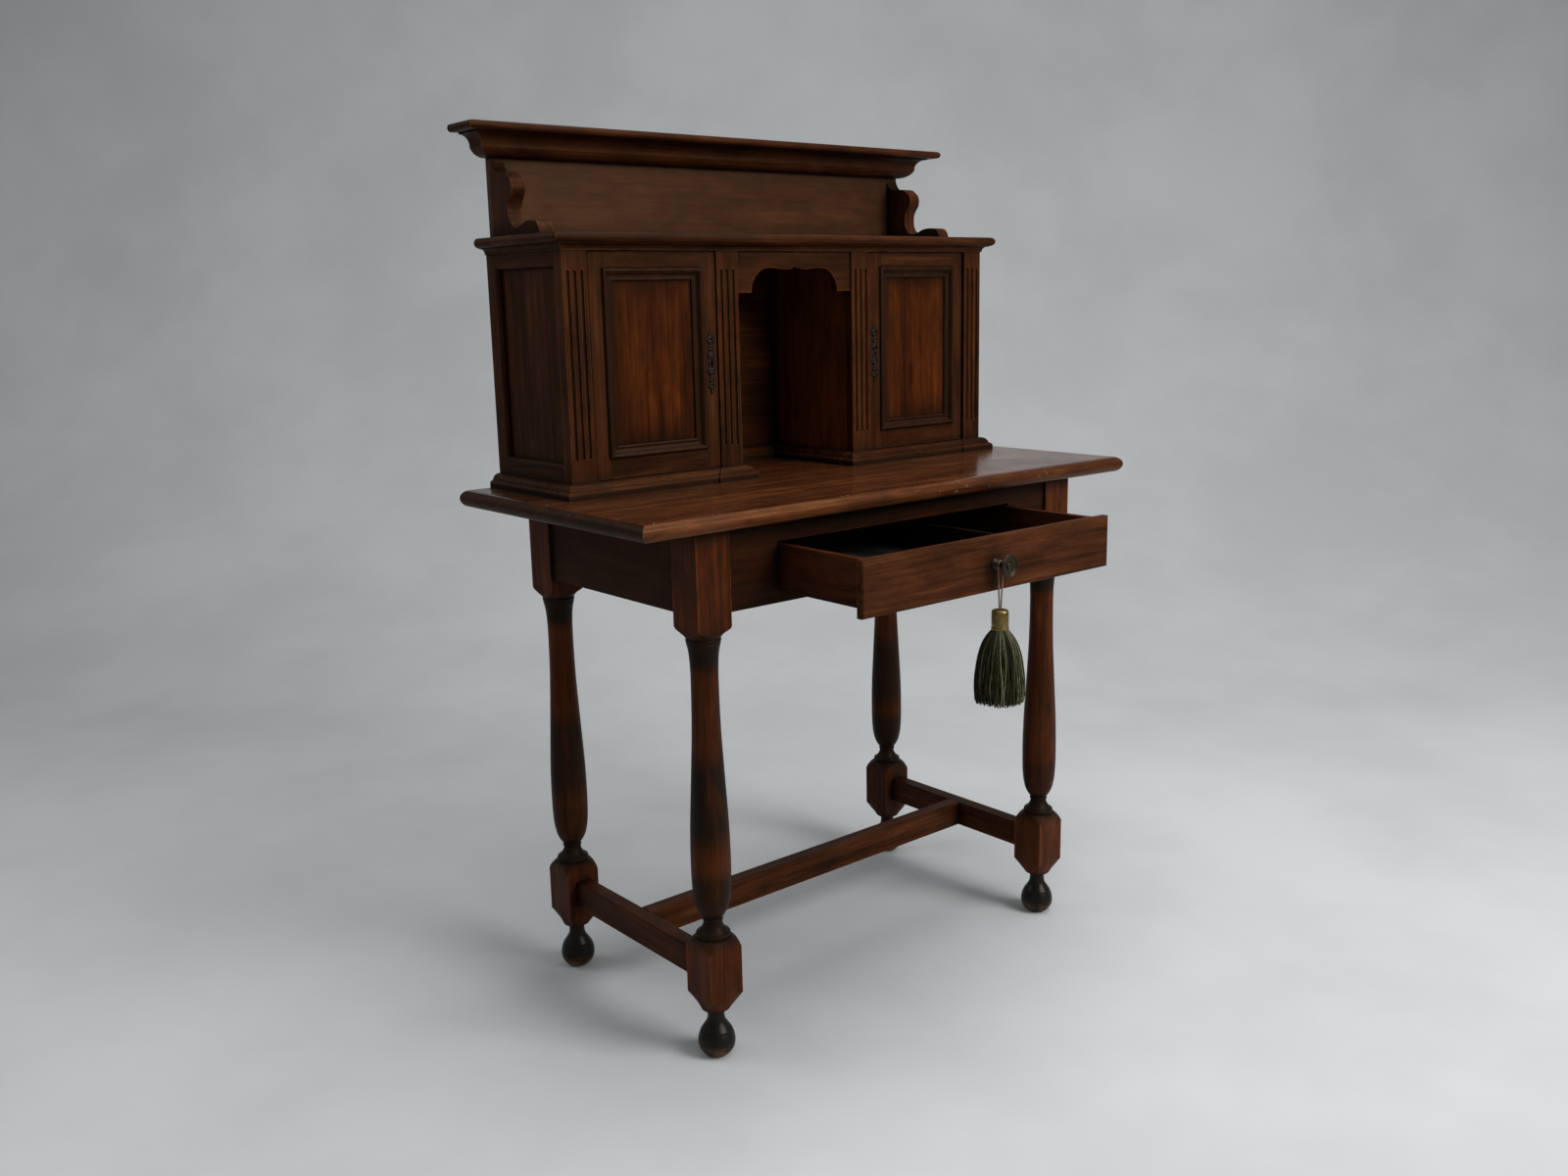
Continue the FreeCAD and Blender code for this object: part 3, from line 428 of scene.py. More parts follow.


# Legs: heights and reaches in metres of what is brightened or dark, and how far it shows on each leg.
# The dark is soot and grime and partly painted shade: the back legs get more of it, the front right leg
# less.
# The brightening of the blocks is partly painted light.

LOWER_BLOCK_Z, LOWER_BLOCK_SPAN = 0.126, (0.05, 0.032)
TOP_BLOCK_START = (0.6, 0.615)
BAND_SPAN = (0.085, 0.035)
HEEL_Z, HEEL_SPAN = 0.222, (0.062, 0.034)
TOP_RINGS_Z, LOW_RINGS_Z, RINGS_SPAN = 0.575, 0.192, (0.034, 0.012)
BLOCK_UNDERSIDE = (0.078, 0.069)
GRIME_AND_SHADE_SHARE = 0.93
# Per leg: soot with painted shade on a band and a heel, more on the back legs; blocks is the share of the
# blocks' partly painted light.
LEG_SOOT_AND_SHADE = {"leg_front_left": {"band_z": 0.372, "band": 1.0, "heel": 1.0, "blocks": 1.0},
            "leg_front_right": {"band_z": 0.36, "band": 0.1, "heel": 0.7, "blocks": 0.0},
            "leg_back_left": {"band_z": 0.345, "band": 0.95, "heel": 0.5, "blocks": 0.3},
            "leg_back_right": {"band_z": 0.35, "band": 0.9, "heel": 0.9, "blocks": 0.0}}


def leg_soot_and_shade(build, coordinates, tone, band_z, band, heel, blocks):
    rise = build.split(coordinates)["Z"]

    def near(level, span):
        return build.ramp(build.apart(rise, level), *span)

    # Partly painted light: the blocks are brightened, fully only on the front left leg, which stands in the
    # light.
    on_blocks = build.larger(build.ramp(rise, *TOP_BLOCK_START), near(LOWER_BLOCK_Z, LOWER_BLOCK_SPAN))
    tone = build.mix(build.times(on_blocks, blocks), tone, shade(BLOCK_TINT_AND_LIGHT), "MULTIPLY")
    smoke = build.noise(coordinates, SMOKE_SCALE, rough=0.6, bend=0.7)
    on_band = build.times(near(band_z, BAND_SPAN), build.ramp(smoke, 0.34, 0.48, 0.55, 1.0))
    on_heel = build.times(near(HEEL_Z, HEEL_SPAN), build.ramp(smoke, 0.34, 0.48, 0.7, 1.0))
    on_shaft = build.larger(build.times(on_band, band), build.times(on_heel, heel))
    on_rings = build.larger(near(TOP_RINGS_Z, RINGS_SPAN), near(LOW_RINGS_Z, RINGS_SPAN))
    on_rings = build.larger(on_rings, build.ramp(rise, *BLOCK_UNDERSIDE))
    on_rings = build.times(on_rings, build.ramp(smoke, 0.25, 0.5, 0.85, 1.0))
    # Soot and grime, partly painted shade where a leg stands in shade.
    grime_and_shade = build.times(build.larger(on_shaft, on_rings), GRIME_AND_SHADE_SHARE)
    return build.mix(grime_and_shade, tone, shade(GRIME_AND_SHADE_TONE))


# Feet: worn brown below a height, fully so below a share of it

FOOT_WORN_BELOW, FOOT_WORN_SHARE = 0.024, 0.4


def worn_rim(build, coordinates, tone, worn_below):
    rise = build.split(coordinates)["Z"]
    chafed = build.noise(coordinates, CHAFE_SCALE, rough=0.65)
    worn = build.times(build.ramp(rise, worn_below, worn_below * FOOT_WORN_SHARE),
                       build.ramp(chafed, 0.44, 0.56, 0.1, 0.9))
    return build.mix(worn, tone, shade(WORN_TONE))


def wood(name, grain, tones, stain=0.4, rub=0.5, gloss=0.0, sheen=0.06, specks=0.0, glint=WOOD_GLINT,
         frame_of=None, rails_of=None, soot_and_shade_of=None, worn_below=None):
    """Wood with its grain along an axis.

    frame_of is the box of a panel with darkened borders. rails_of is the box of a frame's panel and the
    axis of its rails. soot_and_shade_of is a row of the legs' table of soot, which is partly painted shade
    and painted light. worn_below is the height under which a foot is worn.
    """
    material, build, surface = new_material(name)
    coordinates = build.object_place()
    lengthwise = along_grain(build, coordinates, grain, len(name))
    if rails_of is not None:
        lengthwise, joint = rail_grain(build, coordinates, lengthwise, rails_of, len(name))
    deep, body, bright = tones
    figure = build.add("ShaderNodeGroup", {"node_tree": stained_wood}, Vector=lengthwise, Deep=shade(deep),
                       Body=shade(body), Bright=shade(bright), Stain=stain, Rub=rub, Specks=specks)
    tone = figure.outputs["Color"]
    if rails_of is not None:
        tone = build.mix(joint, tone, shade(JOINT_TONE))
    if frame_of is not None:
        tone = dark_border(build, coordinates, tone, frame_of)
    if soot_and_shade_of is not None:
        tone = leg_soot_and_shade(build, coordinates, tone, **soot_and_shade_of)
    if worn_below is not None:
        tone = worn_rim(build, coordinates, tone, worn_below)
    rough = build.math("SUBTRACT", figure.outputs["Roughness"], gloss)
    dress(build, surface, tone, rough, figure.outputs["Height"], WOOD_BUMP, WOOD_DEPTH)
    surface.inputs["Specular IOR Level"].default_value = sheen
    surface.inputs["Specular Tint"].default_value = shade(glint)
    return material


def leg_finish(leg):
    # Painted light: the front right leg takes the brighter tones.
    tones = LIT_LEG_TONES if leg == "leg_front_right" else LEG_TONES
    return wood("turned_" + leg + "_wood", "z", tones, stain=0.35, rub=0.8, sheen=0.09, glint=LEG_GLINT,
                soot_and_shade_of=LEG_SOOT_AND_SHADE[leg])


def panel_finish(side):
    return wood("door_panel_wood_" + side, "z", PANEL_TONES, stain=0.3, rub=0.0, sheen=0.035,
                frame_of=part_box("door_panel_" + side))


def door_frame_finish(side):
    return wood("door_frame_wood_" + side, "z", DESK_TONES, rub=0.7,
                rails_of=(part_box("door_panel_" + side), "x"))


def side_frame_finish(side):
    return wood("side_frame_wood_" + side, "z", DESK_TONES, rub=0.7,
                rails_of=(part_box("side_panel_" + side), "y"))


wood_across = wood("desk_wood_across", "x", DESK_TONES, rub=0.8)
wood_back = wood("desk_wood_front_to_back", "y", DESK_TONES, rub=0.8)
wood_up = wood("desk_wood_upright", "z", DESK_TONES, rub=0.7)
# Painted shade: the front apron's darker tones stand in for shadow.
front_apron_wood = wood("front_apron_wood", "x", SHADED_FRONT_APRON_TONES, rub=0.6)
# Painted shade: the side aprons' darker tones stand in for shade.
apron_wood = wood("side_apron_wood", "y", SHADED_SIDE_APRON_TONES, rub=0.6)
leg_wood = {leg: leg_finish(leg) for leg in LEG_SOOT_AND_SHADE}
foot_wood = wood("blackened_foot_wood", "z", FOOT_TONES, stain=0.3, rub=0.6, gloss=0.12, sheen=0.17,
                 glint=FOOT_GLINT, worn_below=FOOT_WORN_BELOW)
board_wood = wood("writing_board_wood", "x", BOARD_TONES, stain=0.35, gloss=0.24, sheen=0.54, specks=0.45)
board_edge_wood = wood("writing_board_edge_wood", "x", BOARD_TONES, stain=0.35, gloss=0.1, sheen=0.12,
                       specks=0.3)
board_end_wood = wood("writing_board_end_wood", "x", BOARD_END_TONES, rub=0.6, sheen=0.08)
stretcher_wood = wood("middle_stretcher_wood", "x", RED_TONES, stain=0.3, rub=0.8)
drawer_wood = wood("drawer_front_wood", "x", DRAWER_FRONT_TONES, stain=0.2)
inner_across = wood("inner_wood_across", "x", INNER_TONES, stain=0.3, rub=0.3)
inner_back = wood("inner_wood_front_to_back", "y", INNER_TONES, stain=0.3, rub=0.3)
divider_wood = wood("drawer_divider_wood", "y", DIVIDER_TONES, rub=0.2)
# Painted light: the niche's side takes the bright, warm tones.
niche_wood = wood("niche_side_wood", "z", LIT_NICHE_TONES, stain=0.1, rub=0.3)
moulding_wood = wood("door_moulding_wood", "z", MOULDING_TONES, stain=0.3, rub=0.9, sheen=0.12)
crown_wood = wood("crown_panel_wood", "x", CROWN_TONES, stain=0.3, sheen=0.18)
panel_wood = {side: panel_finish(side) for side in SIDES}
door_wood = {side: door_frame_finish(side) for side in SIDES}
side_wood = {side: side_frame_finish(side) for side in SIDES}


# Metals, cast or turned, with dull tarnish in patches and in the corners

METAL_CORNER = 0.003
GRIT_TO_PATCH = 9
TARNISH_SHARE, TARNISH_METALLIC = 0.75, 0.55


def metal(name, deep, bright, tarnish, tarnish_scale, rough, dents=0.25):
    material, build, surface = new_material(name)
    coordinates = build.object_place()
    patches = build.noise(coordinates, tarnish_scale, detail=5.0, rough=0.65, bend=0.4)
    grit = build.noise(coordinates, tarnish_scale * GRIT_TO_PATCH, detail=3.0, rough=0.6)
    corner = build.add("ShaderNodeAmbientOcclusion", {"samples": SHADER_SAMPLES}, Distance=METAL_CORNER)
    dull = build.larger(build.ramp(patches, 0.4, 0.62), build.ramp(corner.outputs["AO"], 0.8, 0.4))
    tone = build.mix(build.ramp(grit, 0.3, 0.7), shade(deep), shade(bright))
    tone = build.mix(build.times(dull, TARNISH_SHARE), tone, shade(tarnish))
    build.feed(surface.inputs["Metallic"], build.ramp(dull, 0.0, 1.0, 1.0, TARNISH_METALLIC))
    dress(build, surface, tone, build.ramp(dull, 0.0, 1.0, *rough), grit, strength=dents)
    return material


aged_brass = metal("aged_brass", deep=(0.016, 0.011, 0.006), bright=(0.06, 0.042, 0.021),
                   tarnish=(0.005, 0.004, 0.003), tarnish_scale=160.0, rough=(0.35, 0.62))
plate_bronze = metal("escutcheon_bronze", deep=(0.006, 0.0034, 0.0018), bright=(0.026, 0.013, 0.0055),
                     tarnish=(0.003, 0.002, 0.0015), tarnish_scale=240.0, rough=(0.4, 0.7))
lock_steel = metal("lock_steel", deep=(0.2, 0.19, 0.18), bright=(0.36, 0.35, 0.33),
                   tarnish=(0.06, 0.045, 0.035), tarnish_scale=60.0, rough=(0.35, 0.6))
gilt_metal = metal("gilt_cap_metal", deep=(0.19, 0.125, 0.036), bright=(0.36, 0.25, 0.084),
                   tarnish=(0.06, 0.036, 0.01), tarnish_scale=70.0, rough=(0.2, 0.45), dents=0.12)


# Black drawer lining with faint scuffs, and the tassel's threads and cord

LINING_BLACK, LINING_SCUFF = (0.009, 0.009, 0.009), (0.027, 0.026, 0.024)
LINING_SCUFF_SCALE, LINING_GRAIN_SCALE = (30.0, 9.0, 9.0), 900.0
THREAD_DARK, THREAD_OLIVE = (0.005, 0.0052, 0.0021), (0.028, 0.028, 0.0112)
THREAD_PALE, THREAD_FURROW = (0.25, 0.235, 0.13), (0.004, 0.004, 0.002)
THREAD_TWIST_SCALE = (500.0, 500.0, 160.0)
CORD_DARK, CORD_LIGHT, CORD_WORN = (0.06, 0.043, 0.025), (0.2, 0.15, 0.09), (0.05, 0.05, 0.05)
CORD_LAY_SCALE, CORD_LAY_BEND, CORD_WEAR_SCALE = 420.0, 1.5, 90.0
CLOTH_SHEEN = 0.12


def lining_material():
    material, build, surface = new_material("black_drawer_lining")
    coordinates = build.object_place()
    scuffs = build.noise(coordinates, LINING_SCUFF_SCALE, detail=5.0, rough=0.7)
    grain = build.noise(coordinates, LINING_GRAIN_SCALE, detail=2.0)
    tone = build.mix(build.ramp(scuffs, 0.52, 0.75), shade(LINING_BLACK), shade(LINING_SCUFF))
    dress(build, surface, tone, build.ramp(scuffs, 0.3, 0.8, 0.5, 0.8), grain, strength=0.3)
    surface.inputs["Specular IOR Level"].default_value = CLOTH_SHEEN
    return material


def thread_material():
    material, build, surface = new_material("tassel_thread")
    tone_of = build.add("ShaderNodeAttribute", {"attribute_name": "thread_tone"}).outputs["Fac"]
    twist = build.noise(build.object_place(), THREAD_TWIST_SCALE, detail=2.0)
    tone = build.mix(build.ramp(tone_of, 0.0, 0.6), shade(THREAD_DARK), shade(THREAD_OLIVE))
    tone = build.mix(build.ramp(tone_of, 0.66, 1.0), tone, shade(THREAD_PALE))
    tone = build.mix(build.ramp(twist, 0.45, 0.7, 0.0, 0.5), tone, shade(THREAD_FURROW))
    dress(build, surface, tone, build.ramp(twist, 0.2, 0.8, 0.45, 0.75), twist, strength=0.4)
    surface.inputs["Specular IOR Level"].default_value = CLOTH_SHEEN
    return material


def cord_material():
    material, build, surface = new_material("tassel_cord_thread")
    coordinates = build.object_place()
    wave = build.add("ShaderNodeTexWave", {"bands_direction": "DIAGONAL"}, Vector=coordinates,
                     Scale=CORD_LAY_SCALE, Distortion=CORD_LAY_BEND)
    lay = wave.outputs["Fac"]
    wear = build.noise(coordinates, CORD_WEAR_SCALE, rough=0.6)
    tone = build.mix(build.ramp(lay, 0.2, 0.8), shade(CORD_DARK), shade(CORD_LIGHT))
    tone = build.mix(build.ramp(wear, 0.5, 0.75, 0.0, 0.5), tone, shade(CORD_WORN))
    dress(build, surface, tone, build.ramp(wear, 0.2, 0.8, 0.6, 0.85), lay, strength=0.5)
    return material


# Tassel: its cord over the knob's neck, a gilt cap and a skirt of threads, in millimetres

NECK_Z, CORD_Y = 668.3, -298.8
CORD_ROUTE = [(1.5, -60.5), (4.4, -13.0), (5.3, 4.9), (-5.3, 4.9), (-4.4, -13.0), (-1.5, -60.5)]
CORD_RADIUS = 1.1
CAP_TOP, CAP_BOTTOM, CAP_RADIUS = 607.8, 579.8, 11.6
CAP_SIDES = 64
CAP_OUTLINE = (
    through([(CAP_TOP - 1.0, 1.0), (CAP_TOP - 0.4, 5.0), (CAP_TOP - 0.5, 8.6), (CAP_TOP - 1.8, 10.8),
             (CAP_TOP - 4.4, CAP_RADIUS)])
    + [(CAP_BOTTOM + 5.6, CAP_RADIUS)]
    + through([(CAP_BOTTOM + 5.3, 11.0), (CAP_BOTTOM + 4.6, 10.9), (CAP_BOTTOM + 4.0, 11.3)])
    + through([(CAP_BOTTOM + 3.8, 11.8), (CAP_BOTTOM + 2.0, 12.0), (CAP_BOTTOM + 0.3, 11.7)])
    + [(CAP_BOTTOM + 0.1, 10.8), (CAP_BOTTOM + 3.0, 10.4), (CAP_BOTTOM + 3.2, 0.5)])
CORE_SIDES = 40
CORE_OUTLINE = (
    [(CAP_BOTTOM + 2.8, 9.6), (CAP_BOTTOM - 1.0, 10.0)]
    + through([(CAP_BOTTOM - 5.0, 13.0), (CAP_BOTTOM - 17.0, 19.8), (CAP_BOTTOM - 36.0, 25.4),
               (CAP_BOTTOM - 50.0, 27.6), (CAP_BOTTOM - 75.0, 29.9), (CAP_BOTTOM - 92.0, 29.0)])
    + [(CAP_BOTTOM - 94.0, 25.0)])

# Skirt: sizes in metres, its bell as shares of drop and girth, and draws of (added to seed, low, high)

SKIRT_SIZES = {"Threads": 900, "Points": 12, "Girth": 0.0348, "Drop": 0.1005, "Thickness": 0.00048,
               "Seed": 7}
SKIRT_BELL = [(0.0, 0.32), (0.05, 0.44), (0.17, 0.66), (0.36, 0.84), (0.5, 0.91), (0.75, 0.985),
              (1.0, 0.94)]
THREAD_DRAWS = {"share": (1.0, 0.5, 1.0), "angle": (2.0, -0.1, 0.1), "phase": (3.0, 0.0, 6.28),
                "length": (4.0, 0.95, 1.0), "tone": (5.0, 0.0, 1.0), "stray": (6.0, 0.0, 1.0)}
THREAD_SECTION = 4
GOLDEN_ANGLE = 2.399963
STRAY_FROM, STRAY_REACH, STRAY_POWER = 0.97, 0.006, 3.0
SWAY_WAVES, SWAY_ANGLE = 5.5, 0.1
SAME_POINT = 0.1


def tassel_cord():
    curve = bpy.data.curves.new("tassel_cord_loop", "CURVE")
    curve.dimensions = "3D"
    curve.bevel_depth = CORD_RADIUS * MM
    curve.bevel_resolution = 4
    curve.resolution_u = 24
    curve.use_fill_caps = True
    line = curve.splines.new("NURBS")
    line.points.add(len(CORD_ROUTE) - 1)
    for point, (x, z) in zip(line.points, CORD_ROUTE):
        point.co = (x * MM, CORD_Y * MM, (NECK_Z + z) * MM, 1.0)
    line.order_u = 3
    line.use_endpoint_u = True
    piece = bpy.data.objects.new("tassel_cord_loop", curve)
    scene.collection.objects.link(piece)
    set_material(piece, cord_material())
    return piece


def hung(z, x, y):
    return (x, CORD_Y * MM + y, z)


def tassel_cap():
    piece = lathe("tassel_cap_gilt", CAP_OUTLINE, hung, CAP_SIDES)
    set_material(piece, gilt_metal)
    return piece


def thread_tree():
    """Threads hang in a bell: each follows the skirt's outline at its own share of the girth."""
    tree = bpy.data.node_groups.new("tassel_threads", "GeometryNodeTree")
    face = tree.interface
    face.new_socket("Core", in_out="INPUT", socket_type="NodeSocketGeometry")
    for label, size in SKIRT_SIZES.items():
        kind = "NodeSocketInt" if isinstance(size, int) else "NodeSocketFloat"
        face.new_socket(label, in_out="INPUT", socket_type=kind)
    face.new_socket("Material", in_out="INPUT", socket_type="NodeSocketMaterial")
    face.new_socket("Skirt", in_out="OUTPUT", socket_type="NodeSocketGeometry")
    build = Tree(tree)
    given = build.add("NodeGroupInput").outputs
    count = given["Points"]

    line = build.add("GeometryNodeMeshLine", None, Count=build.times(given["Threads"], count))
    index = build.add("GeometryNodeInputIndex").outputs["Index"]
    next_point = build.math("MODULO", build.plus(index, 1.0), count)
    between = build.math("COMPARE", next_point, 0.0, SAME_POINT)
    loose = build.add("GeometryNodeDeleteGeometry", {"domain": "EDGE", "mode": "EDGE_FACE"},
                      Geometry=line.outputs["Mesh"], Selection=between)
    thread = build.math("FLOOR", build.math("DIVIDE", index, count))
    step = build.math("MODULO", index, count)
    down = build.math("DIVIDE", step, build.math("SUBTRACT", count, 1.0))

    def chance(draw):
        shift, low, high = THREAD_DRAWS[draw]
        node = build.add("FunctionNodeRandomValue", {"data_type": "FLOAT"})
        build.feed(node.inputs[2], low)
        build.feed(node.inputs[3], high)
        build.feed(node.inputs["ID"], thread)
        build.feed(node.inputs["Seed"], build.plus(given["Seed"], shift))
        return node.outputs[1]

    bell = build.add("ShaderNodeFloatCurve", None, Value=down)
    points = bell.mapping.curves[0].points
    for place, girth in SKIRT_BELL[1:-1]:
        points.new(place, girth)
    points[0].location = SKIRT_BELL[0]
    points[-1].location = SKIRT_BELL[-1]
    bell.mapping.update()
    girth = build.times(bell.outputs["Value"], given["Girth"])
    share = build.math("SQRT", chance("share"))
    stray = build.ramp(chance("stray"), STRAY_FROM, 1.0)
    stray = build.times(stray, build.math("POWER", down, STRAY_POWER))
    reach = build.plus(build.times(girth, share), build.times(stray, STRAY_REACH))
    angle = build.plus(build.times(thread, GOLDEN_ANGLE), chance("angle"))
    wave = build.math("SINE", build.plus(build.times(down, SWAY_WAVES), chance("phase")))
    angle = build.plus(angle, build.times(build.times(wave, SWAY_ANGLE), down))
    length = build.times(given["Drop"], chance("length"))

    aside = build.times(reach, build.math("COSINE", angle))
    ahead = build.times(reach, build.math("SINE", angle))
    low = build.math("SUBTRACT", CAP_BOTTOM * MM, build.times(length, down))
    place = build.add("ShaderNodeCombineXYZ", None, X=aside, Y=build.plus(ahead, CORD_Y * MM), Z=low)
    placed = build.add("GeometryNodeSetPosition", None, Geometry=loose.outputs["Geometry"],
                       Position=place.outputs["Vector"])
    toned = build.add("GeometryNodeStoreNamedAttribute", {"data_type": "FLOAT", "domain": "POINT"},
                      Geometry=placed.outputs["Geometry"], Name="thread_tone", Value=chance("tone"))
    curves = build.add("GeometryNodeMeshToCurve", None, Mesh=toned.outputs["Geometry"])
    section = build.add("GeometryNodeCurvePrimitiveCircle", None, Resolution=THREAD_SECTION,
                        Radius=given["Thickness"])
    tubes = build.add("GeometryNodeCurveToMesh", None, Curve=curves.outputs["Curve"],
                      Profile_Curve=section.outputs["Curve"], Fill_Caps=True)
    joined = build.add("GeometryNodeJoinGeometry")
    tree.links.new(given["Core"], joined.inputs[0])
    tree.links.new(tubes.outputs["Mesh"], joined.inputs[0])
    whole = build.add("GeometryNodeRealizeInstances", None, Geometry=joined.outputs["Geometry"])
    dressed = build.add("GeometryNodeSetMaterial", None, Geometry=whole.outputs["Geometry"],
                        Material=given["Material"])
    build.add("NodeGroupOutput", None, Skirt=dressed.outputs["Geometry"])
    return tree


def tassel_threads():
    core = lathe("tassel_skirt_threads", CORE_OUTLINE, hung, CORE_SIDES)
    weave = core.modifiers.new("threads", "NODES")
    weave.node_group = thread_tree()
    sockets = {item.name: item.identifier for item in weave.node_group.interface.items_tree}
    for label, size in SKIRT_SIZES.items():
        weave[sockets[label]] = size
    weave[sockets["Material"]] = thread_material()
    keep_modified(core, weave)
    return core


cord_loop = tassel_cord()
gilt_cap = tassel_cap()
threads = tassel_threads()
for piece, node, finish in ((cord_loop, "tassel_cord", "tassel_cord"), (gilt_cap, "tassel_cap", "gilt_cap"),
                            (threads, "tassel_skirt", "tassel_thread")):
    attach(piece, "tassel")
    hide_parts(node)


# Turned legs: round lengths and square blocks in one skin, as heights and radii in millimetres

LEG_SIDES = 96
LEG_SHARP = 28.0
BLOCK_HALF, BLOCK_CORNER = 27.0, 38.3
FOOT_TOP = 68.4
BALL_FOOT = [(0.0, 11.8), (0.9, 14.2), (4.0, 18.2), (8.5, 22.0), (14.0, 24.8), (20.0, 25.8), (26.0, 25.5),
             (31.5, 24.3), (37.4, 21.9)]
FOOT_GROOVE = [(37.8, 20.9), (38.8, 20.6)]
FOOT_NECK = [(39.2, 21.0), (44.0, 17.7), (48.6, 14.6), (53.0, 12.6), (57.5, 11.8), (63.0, 11.7),
             (68.0, 12.3)]
UNDERSIDE_EDGE = [(68.6, 14.8), (69.2, 17.8), (70.4, 20.0)]
LOWER_BLOCK = [(93.0, BLOCK_CORNER), (126.0, BLOCK_CORNER), (160.0, BLOCK_CORNER)]
LOWER_SHOULDER = [(160.2, 38.2), (164.8, 36.2), (169.8, 32.2), (173.6, 28.0), (175.8, 24.6)]
LOWER_RING = [(176.2, 22.4), (177.2, 23.3), (179.5, 23.5), (181.8, 23.3), (182.8, 22.4)]
ANKLE = [(183.2, 20.4), (187.0, 17.0), (192.0, 14.0), (197.8, 12.5)]
ANKLE_RING = [(198.2, 12.8), (199.0, 13.7), (200.5, 14.0), (202.0, 13.7), (202.8, 12.8)]
LEG_SHAFT = [(203.0, 12.6), (211.0, 18.4), (222.0, 22.8), (242.0, 26.0), (277.0, 27.1), (329.0, 26.3),
             (399.0, 22.8), (470.0, 19.4), (531.0, 18.4), (556.0, 18.8), (570.0, 19.8), (579.0, 21.2),
             (585.0, 22.7)]
UPPER_RING = [(586.0, 22.3), (587.4, 23.1), (589.6, 23.5), (591.8, 23.1), (592.8, 22.4)]
UPPER_SHOULDER = [(593.2, 23.8), (596.0, 25.8), (599.0, 29.0), (601.6, 32.8), (603.8, 36.4),
                  (607.0, BLOCK_CORNER)]
TOP_BLOCK = [(670.0, BLOCK_CORNER), (736.0, BLOCK_CORNER)]
LEG_OUTLINE = (
    through(BALL_FOOT) + FOOT_GROOVE + through(FOOT_NECK, 4) + through(UNDERSIDE_EDGE, 3) + LOWER_BLOCK
    + through(LOWER_SHOULDER, 4) + through(LOWER_RING, 3) + through(ANKLE, 4) + through(ANKLE_RING, 3)
    + through(LEG_SHAFT, 6) + through(UPPER_RING, 3) + through(UPPER_SHOULDER, 4) + TOP_BLOCK)


def turned_leg(node):
    low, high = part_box(node)
    x, y = (low.x + high.x) / 2, (low.y + high.y) / 2
    rings = []
    for z, radius in LEG_OUTLINE:
        ring = []
        for s in range(LEG_SIDES):
            angle = math.tau * s / LEG_SIDES
            square = BLOCK_HALF / max(abs(math.cos(angle)), abs(math.sin(angle)))
            r = min(radius, square) * MM
            ring.append((x + r * math.cos(angle), y + r * math.sin(angle), z * MM))
        rings.append(ring)
    piece = mesh_piece("turned_" + node, *skin(rings), sharp=LEG_SHARP)
    set_material(piece, leg_wood[node], foot_wood)
    for polygon in piece.data.polygons:
        polygon.material_index = 1 if polygon.center.z < FOOT_TOP * MM else 0
    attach(piece, "desk")
    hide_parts(node)


for leg_name in LEG_SOOT_AND_SHADE:
    turned_leg(leg_name)


# Writing board: its edge is a wide round over a narrow one, the back edge less deep

BOARD_NOSE, BOARD_TOP_ROUND, BOARD_UNDER_ROUND = 12.5, 14.5, 12.0
BOARD_ROUND_STEPS = 10
BACK_EDGE_SHARE = 0.55
FLAT_TOP_NORMAL = 0.93


def moulded_board():
    low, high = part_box("writing_board")
    thick = (high.z - low.z) / MM
    rings = []
    for step in range(-BOARD_ROUND_STEPS, BOARD_ROUND_STEPS + 1):
        angle = math.pi / 2 * step / BOARD_ROUND_STEPS
        depth, rise = (BOARD_UNDER_ROUND, BOARD_NOSE) if step < 0 else (BOARD_TOP_ROUND, thick - BOARD_NOSE)
        inset = depth * (1 - math.cos(angle)) * MM
        z = low.z + (BOARD_NOSE + rise * math.sin(angle)) * MM
        left, right = low.x + inset, high.x - inset
        front, back = low.y + inset, high.y - inset * BACK_EDGE_SHARE
        rings.append([(left, front, z), (right, front, z), (right, back, z), (left, back, z)])
    piece = mesh_piece("writing_board_moulded", *skin(rings))
    set_material(piece, board_wood, board_edge_wood, board_end_wood)
    for polygon in piece.data.polygons:
        normal = polygon.normal
        if normal.z > FLAT_TOP_NORMAL:
            polygon.material_index = 0
        elif abs(normal.x) > abs(normal.y):
            polygon.material_index = 2
        else:
            polygon.material_index = 1
    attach(piece, "desk")
    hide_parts("writing_board")


moulded_board()


# Drawer knob: a dished round with a rolled rim on a neck and a flange, as (reach, radius) in millimetres

KNOB_FACE_Y = -289.8
KNOB_SIDES = 56
KNOB_SHANK = [(-14.0, 2.9), (-0.2, 3.0)]
KNOB_FLANGE_BACK = [(-0.1, 8.0)]
KNOB_FLANGE = [(0.0, 8.0), (1.2, 7.9), (2.2, 7.0), (2.6, 5.4), (3.6, 3.9), (6.0, 3.5)]
KNOB_NECK = [(13.0, 3.5), (18.0, 3.7), (20.2, 5.2), (21.6, 9.5), (23.0, 14.2)]
KNOB_RIM = [(23.2, 15.0), (24.2, 15.5), (25.3, 15.2), (25.9, 14.4), (25.6, 13.6), (24.8, 13.2)]
KNOB_DISH = [(24.4, 12.8), (23.6, 10.0), (23.2, 6.6)]
KNOB_BOSS = [(23.3, 4.4), (24.4, 4.2), (25.2, 3.2), (25.5, 1.6), (25.6, 0.2)]
KNOB_OUTLINE = (through(KNOB_SHANK, 2) + KNOB_FLANGE_BACK + through(KNOB_FLANGE, 4) + through(KNOB_NECK, 4)
                + through(KNOB_RIM, 4) + through(KNOB_DISH, 4) + through(KNOB_BOSS, 4))


def on_drawer(reach, x, z):
    return (x, KNOB_FACE_Y * MM - reach, NECK_Z * MM + z)


